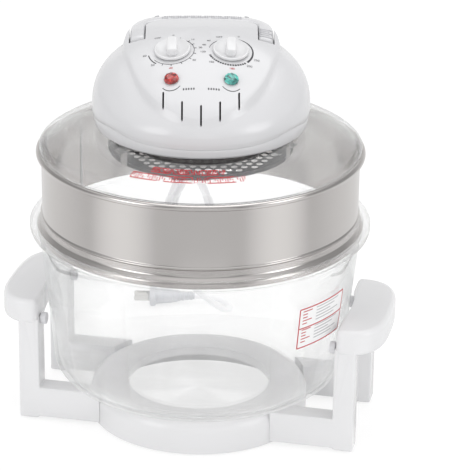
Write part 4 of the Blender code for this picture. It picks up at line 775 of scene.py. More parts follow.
@dataclass
class Head:
    """Cover, skirt, handle, controls and prints of the heater head."""

    dome: Dome = field(default_factory=Dome)
    knob_at: Pair = (0.0277, -0.0210)
    lamp_at: Pair = (0.0280, -0.0600)
    slot_pitch: float = 0.0177
    slot_bottom: float = 0.3385
    slot_length: float = 0.0150
    slot_half: float = 0.0009
    angles: Sequence[float] = tuple(math.pi * (2 * i / MEDIUM - 1) for i in range(MEDIUM))

    def __post_init__(self) -> None:
        """Makes the handle's shape from the dome."""
        self.bail = Bail(self.dome)

    def build(self) -> None:
        """Makes every piece of the head."""
        self.cover()
        self.skirt()
        Piece(self.bail.handle(), "handle", Finish.WHITE, ("carry_handle",), 60).hang()
        for side, body in ((-1, "timer"), (1, "thermostat")):
            self.knob(side, body)
        self.lamp("power_lamp", -1, Finish.RED_LENS)
        self.lamp("heat_lamp", 1, Finish.TEAL_LENS)
        self.prints()

    def cover(self) -> None:
        """The moulded cover with its raised deck, channel, slots and lamp holes."""
        d = self.dome
        rings = [[around(a, d.skirt_top, d.seam(a) + GAP) for a in self.angles]]
        rings += [[low.lerp(d.point(a, 1.0), t) + around(a, 1.0) * 0.0006 * math.sin(math.pi * t)
                   for a, low in zip(self.angles, rings[0])] for t in (0.3, 0.6)]
        for share, steps in (
                (lambda edge, t: 1 - (1 - edge - d.step_share) * t ** 2,
                 (0.0, 0.08, 0.16, 0.26, 0.37, 0.48, 0.6, 0.72, 0.84, 0.93, 1.0)),
                (lambda edge, t: edge + d.step_share * t, (0.84, 0.68, 0.5, 0.32, 0.16, 0.0)),
                (lambda edge, t: edge * t, (0.97, 0.9, 0.82, 0.73, 0.63, 0.52, 0.4, 0.28, 0.16, 0.06))):
            rings += [[d.point(a, share(d.edge(a), t)) for a in self.angles] for t in steps]
        shell = skinned("head_cover_shell", rings, (Vector((0, 0, d.bottom + d.skirt_height)), d.point(0, 0)))
        coarse = self.angles[::3]
        inner = [[around(a, d.skirt_top - 0.0025, z) for a in coarse] for z in (d.bottom, d.shoulder)]
        inner += [[self.inner_point(a, share) for a in coarse]
                  for share in (0.985, 0.95, 0.9, 0.82, 0.72, 0.62, 0.5, 0.35, 0.2)]
        room = skinned("room", inner, (Vector((0, 0, d.bottom)), self.inner_point(0, 0)))
        combined(room, [self.bail.channel(d.wall), self.bail.pocket_block(d.wall)])
        cuts = [room, self.bail.channel(0.0), self.bail.pocket_block(0.0)] + self.slots()
        for x, y in ((-self.lamp_at[0], self.lamp_at[1]), self.lamp_at):
            cuts.append(spun("hole", can(0.0059, -0.012, 0.006), SMALL, d.over(x, y), d.turn(x, y)))
        Piece(combined(shell, cuts), "head", Finish.WHITE, ("head_cover",), 32).hang()

    def inner_point(self, angle: float, share: float) -> Vector:
        """A point of the cover's inner face, which keeps under the deck and clear of its step."""
        d = self.dome
        x, y, _ = d.point(angle, share)
        scale = 1 - d.wall / d.radius
        flank = d.flank(angle, share)
        deck = d.deck_height(x, y, flank)
        over = held((share - d.edge(angle) + 0.12) / 0.12)
        height = (deck + (flank - deck) * over) * (1 - d.wall / d.rise)
        return Vector((x * scale, y * scale, d.shoulder + height))

    def slots(self) -> list[Any]:
        """The five round-ended slots."""
        found = []
        for number in range(-2, 3):
            low = self.slot_bottom + self.slot_length * (0.04, 0.29, 0.80)[abs(number)]
            tall = self.slot_length * (1.0, 0.9, 0.72)[abs(number)]
            outline = [(number * self.slot_pitch + self.slot_half * math.cos(a),
                        low + (tall if math.sin(a) > 0 else 0) + self.slot_half * math.sin(a)) for a in turns(12)]
            found.append(extruded("slot", outline, 0.060, 0.115, UPRIGHT))
        return found

    def skirt(self) -> None:
        """The band under the cover, with a soft foot."""
        d = self.dome

        def circle(radius: float, height: float | None = None) -> list[Vector]:
            """One ring; no height means up at the seam."""
            return [around(a, radius, d.seam(a) if height is None else d.bottom + height) for a in self.angles]

        upper = circle(d.skirt_top)
        rings = [circle(0.1000, 0.0003), circle(0.1008, 0), circle(0.1018, 0.0002), circle(d.skirt_foot, 0.0012),
                 circle(0.1033, 0.0045), [p + Vector((0, 0, -0.0009)) for p in upper],
                 [Vector((p.x * 0.9962, p.y * 0.9962, p.z)) for p in upper],
                 circle(0.1015), circle(0.1015, 0.0034), circle(0.0855, 0.0034), circle(0.0855, 0.0012),
                 circle(0.1000, 0.0012)]
        Piece(skinned("head_skirt_band", rings, loop=True), "head", Finish.WHITE, ("head_skirt",)).hang()

    def knob(self, side: int, body: str) -> None:
        """A knob: dished disc with a tall rounded grip bar."""
        x, y = side * self.knob_at[0], self.knob_at[1]
        low = 0.0006
        disc = [(r, low + z) for r, z in (
            (0, 0), (0.0166, 0), (0.0172, 0.0006), (0.0172, 0.0019), (0.0168, 0.0026), (0.0160, 0.0028),
            (0.0150, 0.0023), (0.0128, 0.0011), (0.0080, 0.0008), (0, 0.0008))]
        made = spun(f"{body}_knob_disc", disc, 96, self.dome.over(x, y), self.dome.turn(x, y))
        outline = [(0.0050 * squared(a, 0.5)[0], 0.0114 * squared(a, 0.4)[1]) for a in turns(40)]
        bar = bevelled(extruded("bar", outline, low + 0.0004, low + 0.0088, self.dome.place(x, y)), 0.0014, 4, 50)
        Piece(combined(made, [bar], "UNION"), body, Finish.KNOB, (f"{body}_knob",), 35).hang()

    def lamp(self, name: str, side: int, finish: Finish) -> None:
        """A faceted lens: rings of facets in turned steps, over a plain stem."""
        place = self.dome.place(side * self.lamp_at[0], self.lamp_at[1])
        rings = []
        for r, z, shift in ((0.0054, -0.0115, 0), (0.0054, 0.0009, 0), (0.0073, 0.0009, 0), (0.0073, 0.0014, 0),
                            (0.0064, 0.0033, 0.5), (0.0040, 0.0043, 0), (0.0020, 0.0040, 0.5)):
            corners = [2 * math.pi * (k + shift) / 10 for k in range(10)]
            rings.append([place @ Vector((r * math.cos(a), r * math.sin(a), z)) for a in corners])
        Piece(skinned(f"{name}_gem", rings), "head", finish, (f"{name}_lens",), 5).hang()

    def prints(self) -> None:
        """Dial rings, ticks, numbers, lamp arcs and two plain print fields on the deck."""
        black = Ribbon(self.dome.over)
        for side in (-1, 1):
            place = self.dome.place(side * self.knob_at[0], self.knob_at[1])

            def at(radius: float, degrees: float) -> Pair:
                """A place in plan from a radius and a clock angle round the knob."""
                a = math.radians(degrees)
                return tuple((place @ Vector((radius * math.sin(a), radius * math.cos(a), 0))).xy)

            (self.timer_print if side < 0 else self.heat_print)(black, at)
            x, y = side * self.lamp_at[0], self.lamp_at[1]
            arc = [math.radians(a) for a in range(-48, 53, 8)]
            black.even([(x + 0.0110 * math.sin(a), y - 0.0122 * math.cos(a)) for a in arc], 0.0006)
            for k in range(5):
                start = x - side * (0.0115 + 0.0024 * k), y - 0.0112
                black.straight(start, (start[0], start[1] - 0.0019), 0.0012, 1)
        strip = Ribbon(self.dome.over, 0.0001)
        for row in range(3):
            for k in range(36):
                x, y = -0.0390 + 0.00218 * k, 0.0618 - 0.0036 * row
                if (k * 7 + row * 3) % 9:
                    strip.straight((x, y), (x + 0.0015, y), 0.0020, 1)
        for row in range(5):
            y = 0.0275 - 0.0038 * row
            strip.straight((0.0562, y), (0.0678 - 0.0025 * (row % 2), y), 0.0014, 4)
        strip.hang("handle_prints", "handle", Finish.GREY_INK)
        black.hang("dial_prints", "head", Finish.BLACK_INK)
        self.numbers()

    def timer_print(self, ink: Ribbon, at: Callable[[float, float], Pair]) -> None:
        """The thin timer ring with its ticks."""
        ink.even([at(0.0208, a) for a in range(-10, 236, 5)], 0.00045)
        ink.even([at(0.0232, a) for a in range(222, 262, 4)], 0.0009)
        for a in (20, 46, 64, 83, 106, 130, 157, 183, 205):
            ink.straight(at(0.0208, a), at(0.0232, a), 0.0006, 1)

    def heat_print(self, ink: Ribbon, at: Callable[[float, float], Pair]) -> None:
        """The heat ring that swells to a wedge and ends in dashes."""
        sweep = range(-80, 136, 4)
        ink.line([at(0.0208 + 0.00035 * max(0, a) / 90, a) for a in sweep],
                 [0.0004 + 0.0015 * max(0, a) / 130 for a in sweep])
        ink.even([at(0.0200, a) for a in (-4, 0, 4)], 0.0016)
        for k in range(17):
            ink.even([at(0.0213, 138 + 6.6 * k + 2.2 * part) for part in range(3)], 0.0019)

    def numbers(self) -> None:
        """Plain dial numbers round both knobs, laid on the deck."""
        black = (((-32, "OFF"), (2, "0"), (46, "10"), (83, "20"), (130, "30"), (224, "50"), (260, "60")),
                 ((-25, "OFF"), (16, "0"), (-52, "60"), (-72, "90"), (-98, "120"), (223, "150"), (138, "200"),
                  (112, "250")))
        red = (((183, "40"),), ((177, "180"),))
        for name, finish, marks in (("dial_numbers", Finish.BLACK_INK, black),
                                    ("dial_red_numbers", Finish.RED_INK, red)):
            mesh = bmesh.new()
            for side, words in zip((-1, 1), marks):
                for degrees, word in words:
                    mesh.from_mesh(self.number(side, math.radians(degrees), word))
            Piece(to_object(name, mesh, merge=0), "head", finish).hang()

    def number(self, side: int, angle: float, word: str) -> Any:
        """One dial mark, laid on the deck beside a knob."""
        place = self.dome.place(side * self.knob_at[0], self.knob_at[1])
        curve = bpy.data.curves.new("number", "FONT")
        curve.body = word
        curve.size = 0.0036
        curve.align_x = curve.align_y = "CENTER"
        holder = linked("number", curve)
        data = bpy.data.meshes.new_from_object(holder.evaluated_get(bpy.context.evaluated_depsgraph_get()))
        shift = Vector((0.0268 * math.sin(angle), 0.0262 * math.cos(angle), 0))
        for vertex in data.vertices:
            p = place @ (vertex.co + shift)
            vertex.co = self.dome.over(p.x, p.y) + Vector((0, 0, 0.00012))
        bpy.data.objects.remove(holder)
        return data


# Glass lid, ring and bowl


@dataclass
class GlassLid:
    """The domed glass lid, its gasket and the red marks printed on it."""

    seat: float = 0.2827
    radius: float = 0.1572
    eye: float = 0.0975
    edge: float = 0.0042
    rise: float = 0.0224
    wall: float = 0.0040
    step: float = 0.1535

    def height(self, radius: float) -> float:
        """Height of the outer face at a radius."""
        share = held((self.radius - radius) / (self.radius - self.eye))
        foot = self.seat + self.edge
        return foot + (self.seat + self.rise - foot) * math.sin(0.5 * math.pi * share ** 0.8)

    def build(self) -> None:
        """Makes the lid's pieces."""
        radii = [self.radius + (self.eye - self.radius) * (i / 16) ** 1.4 for i in range(17)]
        outer = [(r, self.height(r)) for r in radii]
        inner = [(r, self.height(r) - self.wall) for r in reversed(radii) if r < 0.148]
        rib = self.step - 0.0032
        foot = [(rib, self.height(rib) - self.wall)] + [(r, self.seat + z) for r, z in (
            (rib + 0.0003, -0.0040), (rib + 0.0012, -0.0045), (self.step - 0.0010, -0.0045),
            (self.step - 0.0002, -0.0038), (self.step, 0), (self.radius - 0.0008, 0), (self.radius, 0.0008))]
        Piece(spun("glass_lid_dome", outer + inner + foot, BIG), "head", Finish.GLASS, ("glass_lid",), 50).hang()
        near, far, low, high = self.eye - 0.0015, self.eye + 0.0015, self.seat + self.rise + GAP, 0.3085
        band = rounded([(near, low), (far, low), (far, high), (near, high)], 0.0006)
        Piece(spun("lid_gasket_band", band, 96), "head", Finish.RUBBER, ("lid_gasket",)).hang()
        self.marks()

    def marks(self) -> None:
        """Two rows of plain red ticks on the glass, where the real lid is printed."""
        ink = Ribbon(lambda x, y: Vector((x, y, self.height(math.hypot(x, y)) + 0.00005)), 0.00008)
        tall = 0.0072
        for radius, start, end in ((0.1212, -20.8, 10.4), (0.1322, -27.9, 17.6)):
            sweep = [math.radians(start + (end - start) * k / 46) for k in range(47)]
            for k, turn in enumerate(sweep):
                if k % 9 != 6:
                    shares = ((0.0, 1.0), (0.0, 0.6), (0.4, 1.0))[k % 3]
                    low, high = (tuple(around(turn, radius + tall * share).xy) for share in shares)
                    ink.straight(low, high, 0.0009, 2)
            for reach in (radius, radius + tall):
                for first in (0, 14, 31):
                    ink.even([tuple(around(turn, reach).xy) for turn in sweep[first:first + 12]], 0.0010)
        ink.hang("lid_red_marks", "head", Finish.RED_INK)


@dataclass
class SteelRing:
    """The extender ring: rolled rim, plain wall, bead and seated flange."""

    low: float = 0.1998
    top: float = 0.2824
    radius: float = 0.1553
    wall: float = 0.0010
    curl: float = 0.0031

    def build(self) -> None:
        """Makes the ring and the upright lap seam inside its wall."""
        inside = self.radius - self.wall
        across, up = inside + self.curl, self.top - self.curl
        roll = [(across + self.curl * math.cos(a), up + self.curl * math.sin(a))
                for a in (math.pi * (1 - 1.35 * i / 22) for i in range(23))]
        beads = [(self.radius + 0.0014 * math.cos(math.pi * i / 12) ** 2, self.low + 0.018 + 0.0022 * i / 6)
                 for i in range(6, -7, -1)]
        foot = self.radius + 0.0050
        lower = flowing([(r, self.low + z) for r, z in (
            (self.radius, 0.0120), (self.radius + 0.0004, 0.0098), (foot - 0.0016, 0.0062),
            (foot - 0.0002, 0.0040), (foot, 0.0015))], 4)
        outline = [(inside, self.low)] + roll + [(self.radius, up - 1.25 * self.curl)] + beads
        outline += [tuple(p) for p in lower] + [(foot, self.low)]
        Piece(spun("extender_ring_shell", outline, 192), "ring", Finish.STEEL, ("extender_ring",), 35).hang()
        lap = box("wall_seam_strip", (inside - 0.0006, -0.0011, self.low + 0.004),
                  (inside + 0.0001, 0.0011, self.top - 0.006))
        lap.data.transform(Matrix.Rotation(math.radians(142), 4, "Z"))
        Piece(lap, "ring", Finish.PIN).hang()


@dataclass
class Bowl:
    """The glass bowl with its thick stepped lip."""

    lip: float = 0.1675
    top: float = 0.2080
    neck: float = 0.1592
    neck_drop: float = 0.0110
    ledge: float = 0.1995
    foot: float = 0.1452
    knee: float = 0.0690
    bottom: float = 0.0310
    wall: float = 0.0042

    def curve(self, inset: float) -> list[Pair]:
        """Outline under the knee, from the wall to the middle."""
        reach, drop = self.foot - inset, self.knee - self.bottom - inset
        shares = [math.sin(0.5 * math.pi * i / 24) for i in range(1, 25)]
        return [(reach * max(0.0, 1 - t ** 2.5) ** 0.4, self.knee - drop * t) for t in shares]

    def build(self) -> None:
        """Makes the bowl."""
        neck, inner, shelf = self.top - self.neck_drop, self.lip - 0.0070, self.neck - self.wall
        lip = rounded([(self.neck, neck), (self.lip - 0.0012, neck + 0.0030), (self.lip, neck + 0.0060),
                       (self.lip, self.top), (inner, self.top), (inner, self.ledge), (shelf, self.ledge),
                       (shelf, neck - 0.004)], 0.0018)
        outer = [(self.foot, self.knee)] + self.curve(0.0)
        inside = [(self.foot - self.wall, self.knee)] + self.curve(self.wall)
        shell = spun("glass_bowl_shell", outer[::-1] + lip + inside, BIG)
        Piece(shell, "bowl", Finish.GLASS, ("glass_bowl",), 50).hang()
        self.label()

    def label(self) -> None:
        """A plain red frame with short lines, where the real bowl has a printed sticker."""
        ground, ink, grey = (Ribbon(self.surface, thick, lambda point: Vector((point.x, point.y, 0)).normalized())
                             for thick in (0.00004, 0.00010, 0.00010))
        left, right, low, high = 0.1030, 0.1700, 0.1205, 0.1625
        strips = 16
        wide = (right - left) / strips
        for k in range(strips):
            x = left + (k + 0.5) * wide
            ground.straight((x, low), (x, high), wide * 1.01, 4)
        lines = [((left, z), (right, z)) for z in (high, low)] + [((x, low), (x, high)) for x in (left, right)]
        middle = 0.5 * (low + high)
        for start, end in lines + [((left, middle), (right, middle))]:
            ink.straight(start, end, 0.0012, 16)
        for row in range(12):
            z = high - 0.0030 - 0.0033 * row
            if row % 6 != 5:
                ink.straight((left + 0.004, z), (left + (0.010 if row % 3 else 0.016), z), 0.0010)
                grey.straight((left + 0.022, z), (left + 0.058 - 0.007 * (row % 3), z), 0.0009, 8)
        ground.hang("bowl_scale_ground", "bowl", Finish.WHITE_INK)
        ink.hang("bowl_red_scale", "bowl", Finish.RED_INK)
        grey.hang("bowl_grey_scale", "bowl", Finish.GREY_INK)

    def surface(self, along: float, height: float) -> Vector:
        """A point just outside the wall, from a way round it from the front and a height."""
        rise = self.top - self.neck_drop - self.knee
        radius = self.foot + (self.neck - self.foot) * (height - self.knee) / rise + 0.0001
        return around(along / 0.1550, radius, height)


# Stand


@dataclass
class Stand:
    """The white stand: round base, two side frames with grips, bumpers and feet."""

    turn: float = math.radians(-12.5)
    lift: float = 0.0015
    base_radius: float = 0.1090
    base_top: float = 0.0350
    reach: float = 0.1690
    width: float = 0.0205
    depth: float = 0.0220
    spread: float = 0.0670
    arm: float = 0.0335
    grip_top: float = 0.1300
    grip_thick: float = 0.0260
    grip_reach: float = 0.1945
    grip_half: float = 0.0685

    def build(self) -> None:
        """Makes the stand's pieces."""
        self.base()
        for name, side in (("left", -1), ("right", 1)):
            self.frame(name, side)
        self.bumpers()

    def hang(self, made: Any, finish: Finish, node: str, smooth: float = 40.0, side: int = 1) -> None:
        """Turns a piece from the stand's own right side to its place and hangs it."""
        made.data.transform(Matrix.Rotation(self.turn + (0 if side > 0 else math.pi), 4, "Z"))
        Piece(made, "stand", finish, (node,), smooth).hang()

    def base(self) -> None:
        """The round base with a soft shoulder and a dished rest."""
        r, low, top = self.base_radius, self.lift, self.base_top
        shoulder = [(r - 0.0120 + 0.0120 * math.cos(a), top - 0.0130 + 0.0130 * math.sin(a))
                    for a in (math.radians(degrees) for degrees in range(0, 86, 7))]
        dish = [(0.0970, top - 0.0001), (0.0845, 0.03400), (0.0720, 0.03290), (0.0720, 0.0240), (0.0750, 0.0240),
                (0.0750, 0.0300), (0.0845, 0.0310), (0.0940, 0.0315), (r - 0.0060, top - 0.012),
                (r - 0.003, top - 0.018), (r - 0.003, low)]
        made = spun("stand_base_ring", [(r, low), (r, low + 0.012)] + shoulder + dish, BIG)
        self.hang(made, Finish.STAND, "stand_base")

    def outline(self, inset: float = 0.0) -> list[Pair]:
        """The grip's D in plan."""
        root = self.reach - self.width + 0.001
        corners = [squared(math.pi * (i / 48 - 0.5), 2 / 3) for i in range(49)]
        points = [(root + (self.grip_reach - root) * x, self.grip_half * y) for x, y in corners]
        if not inset:
            return points
        middle = sum(x for x, _ in points) / len(points)
        span = self.grip_reach - middle
        return [(middle + (x - middle) * (span - inset) / span, y * (self.grip_half - inset) / self.grip_half)
                for x, y in points]

    def limb(self, end: int) -> Any:
        """The leg with its foot arm, an L in side view."""
        inner, low = self.reach - self.width, self.lift
        top = self.grip_top - self.grip_thick + 0.006
        outline = [(0.0545, low + 0.002), (inner, low + 0.002), (inner + 0.002, low), (self.reach, low),
                   (self.reach, top), (inner, top), (inner, low + self.arm), (0.0545, low + self.arm)]
        near, far = sorted((end * (self.spread - self.depth), end * self.spread))
        return bevelled(extruded("limb", outline, -far, -near, UPRIGHT), 0.0028, 4)

    def frame(self, name: str, side: int) -> None:
        """One side frame: two legs, two arms and the grip in one moulding."""
        low = self.grip_top - self.grip_thick
        made = bevelled(extruded(f"{name}_side_frame_body", self.outline(), low, self.grip_top), 0.0055, 5, 50)
        combined(made, [self.limb(-1), self.limb(1)], "UNION")
        seat = spun("seat", can(self.base_radius + GAP, -0.004, low - 0.004), BIG)
        room = spun("room", can(0.1548, low - 0.004, self.grip_top + 0.004), BIG)
        keep = self.spread - self.depth - 0.0045
        pocket = extruded("pocket", self.outline(0.009), low - 0.004, low + 0.017)
        combined(pocket, [box("between", (0, -keep, low - 0.01), (0.2, keep, low + 0.03))], "INTERSECT")
        self.hang(combined(made, [seat, room, pocket]), Finish.STAND, f"side_frame_{name}", 38, side)

    def bumpers(self) -> None:
        """Round bumpers on the legs and pads under them."""
        across = self.spread - 0.5 * self.depth
        neck = 0.1452 + 0.0140 * (0.1135 - 0.0690) / 0.1280 + 0.0008
        low, high = math.sqrt(neck ** 2 - 0.050 ** 2), self.reach - self.width - GAP
        for number, (side, end) in enumerate(((-1, -1), (1, -1), (1, 1), (-1, 1)), start=1):
            bumper = spun(f"bumper_{number}", rounded(can(0.006, 0, high - low), 0.0012), SMALL,
                          Vector((side * low, end * across, 0.1075)), Quaternion((0, 1, 0), side * math.pi / 2))
            self.hang(bumper, Finish.BUMPER, f"bowl_bumper_{number}")
            pad = spun(f"pad_{number}", rounded(can(0.0075, 0, 0.0012), 0.0004), SMALL,
                       Vector((side * (self.reach - 0.5 * self.width), end * across, 0)))
            self.hang(pad, Finish.RUBBER, f"foot_pad_{number}")


# Heater


DRESS = {
    Finish.PLATE: "guard_strap_1 guard_strap_2 guard_strap_3 motor_bracket convection_fan",
    Finish.PIN: "shield_screw_1 shield_screw_2 shield_screw_3 handle_pin_left handle_pin_right timer_shaft "
                "thermostat_shaft motor_shaft sensor_bulb",
    Finish.CERAMIC: "element_bush_1 element_bush_2",
    Finish.DARK_GREY: "fan_motor",
    Finish.BLACK: "timer_unit thermostat_unit cooling_fan safety_switch terminal_block",
    Finish.WHITE: "switch_plunger",
}


@dataclass
class Heater:
    """Guard, shield and element, and the finishes of the solids that are kept."""

    guard: float = 0.0900
    low: float = 0.2813
    wall: float = 0.0012
    pitch: float = 0.0098
    hole: float = 0.0034
    plate_wall: float = 0.0004
    holes_within: float = 0.0755
    plate_within: float = 0.0835
    rows: int = 22

    def build(self) -> None:
        """Makes the heater's visible pieces and dresses the kept solids."""
        self.plate()
        inner, high = self.guard - self.wall, self.low + self.wall + 0.0001
        outline = rounded([(0.0805, self.low), (self.guard, self.low), (self.guard, self.low + 0.0045),
                           (inner, self.low + 0.0045), (inner, high), (0.0805, high)], 0.0012)
        Piece(spun("guard_rim", outline, MEDIUM), "head", Finish.GUARD, ("heater_guard",)).hang()
        self.element()
        pan = [(0.0045, SHIELD_LOW), (0.0930, SHIELD_LOW), (0.0942, 0.3066), (0.0950, 0.3072), (0.0950, 0.3082),
               (0.0945, 0.3085), (0.0045, 0.3085)]
        Piece(spun("shield_pan", pan, MEDIUM), "head", Finish.PLATE, ("heat_shield",)).hang()
        for finish, nodes in DRESS.items():
            for node in nodes.split():
                slots = bpy.data.objects[node].data.materials
                slots.clear()
                slots.append(finish.material())

    def tile(self, name: str, hole: float) -> Any:
        """One six-sided cell of the plate, with or without its hole."""
        mesh = bmesh.new()
        ring = []
        for k, a in enumerate(turns(12)):
            reach = self.pitch / 2 / (math.cos(math.radians(30)) if k % 2 else 1.0)
            ring.append(Vector((reach * math.cos(a), reach * math.sin(a), 0)))
        lifts = (Vector(), Vector((0, 0, self.plate_wall)))
        low, high = ([mesh.verts.new(p + lift) for p in ring] for lift in lifts)
        if hole:
            under, over = ([mesh.verts.new(p.normalized() * hole + lift) for p in ring] for lift in lifts)
            for k in range(12):
                j = (k + 1) % 12
                for corners in ((low[j], low[k], under[k], under[j]), (high[k], high[j], over[j], over[k]),
                                (under[j], under[k], over[k], over[j])):
                    mesh.faces.new(corners)
        else:
            mesh.faces.new(low[::-1])
            mesh.faces.new(high)
        return to_object(name, mesh, merge=0)

    def plate(self) -> None:
        """The perforated plate: cells on a six-sided lattice, made by Geometry Nodes."""
        tree = bpy.data.node_groups.new("perforated_plate", "GeometryNodeTree")
        cells = {"Open cell": self.tile("open_cell", self.hole), "Blind cell": self.tile("blind_cell", 0.0)}
        given = {"Pitch": self.pitch, "Holes within": self.holes_within, "Plate within": self.plate_within,
                 "Height": self.low, **cells}
        tree.interface.new_socket("Geometry", in_out="OUTPUT", socket_type="NodeSocketGeometry")
        ports = {key: tree.interface.new_socket(
            key, in_out="INPUT", socket_type="NodeSocketObject" if key in cells else "NodeSocketFloat").identifier
            for key in given}
        inward = tree.nodes.new("NodeGroupInput").outputs

        def node(kind: str, **inputs: Any) -> Any:
            """Adds a geometry node, with its inputs linked or set."""
            made = tree.nodes.new(kind)
            for key, item in inputs.items():
                if isinstance(item, bpy.types.NodeSocket):
                    tree.links.new(item, made.inputs[key])
                else:
                    made.inputs[key].default_value = item
            return made

        pitch = Value(tree, inward["Pitch"])
        index = Value(tree, node("GeometryNodeInputIndex").outputs[0])
        row = (index / float(self.rows)).op("FLOOR")
        column = index - row * float(self.rows)
        x = (column - (self.rows / 2 - 0.25) + row.op("MODULO", 2.0) * 0.5) * pitch
        y = (row - (self.rows / 2 - 0.5)) * (math.sqrt(3) / 2) * pitch
        place = node("ShaderNodeCombineXYZ", X=x.socket, Y=y.socket, Z=inward["Height"])
        points = node("GeometryNodePoints", Count=self.rows ** 2, Position=place.outputs[0])
        flat = node("ShaderNodeSeparateXYZ", Vector=node("GeometryNodeInputPosition").outputs[0])
        along, behind = (Value(tree, flat.outputs[k]) for k in range(2))
        span = (along * along + behind * behind).op("SQRT")
        near, inside = (span.op("LESS_THAN", Value(tree, inward[key])) for key in ("Holes within", "Plate within"))
        join = node("GeometryNodeJoinGeometry")
        for pick, key in ((near, "Open cell"), (inside - near, "Blind cell")):
            info = node("GeometryNodeObjectInfo", Object=inward[key])
            spread = node("GeometryNodeInstanceOnPoints", Points=points.outputs[0], Selection=pick.socket,
                          Instance=info.outputs["Geometry"])
            tree.links.new(spread.outputs[0], join.inputs[0])
        real = node("GeometryNodeRealizeInstances", Geometry=join.outputs[0])
        merged = node("GeometryNodeMergeByDistance", Geometry=real.outputs[0], Distance=0.00002)
        dressed = node("GeometryNodeSetMaterial", Geometry=merged.outputs[0], Material=Finish.GUARD.material())
        tree.links.new(dressed.outputs[0], tree.nodes.new("NodeGroupOutput").inputs[0])
        holder = to_object("guard_plate", bmesh.new(), merge=0)
        modifier = holder.modifiers.new("plate", "NODES")
        modifier.node_group = tree
        for key, item in given.items():
            modifier[ports[key]] = item
        applied(holder)
        for part in cells.values():
            bpy.data.objects.remove(part)
        Piece(holder, "head", Finish.GUARD).hang()

    def element(self) -> None:
        """The sheathed heating ring with its two raised ends."""
        z, r, half = SHIELD_LOW - 0.0170, 0.0640, math.radians(19)
        sweep = [math.pi / 2 + half + (2 * math.pi - 2 * half) * i / 90 for i in range(91)]
        ring = [Vector((r * math.cos(a), r * math.sin(a), z)) for a in sweep]
        ends = []
        for first, second in ((ring[0], ring[1]), (ring[-1], ring[-2])):
            out = (first - second).normalized() * 0.008
            ends.append([first + share * out + Vector((0, 0, lift))
                         for share, lift in ((0.4, 0.0003), (0.8, 0.0025), (1.0, 0.0064))]
                        + [Vector((*(first + out).xy, 0.307))])
        made = tube("element_rod", ends[0][::-1] + ring + ends[1], 0.004, 5)
        Piece(made, "head", Finish.ELEMENT, ("heating_element",)).hang()


# Cord


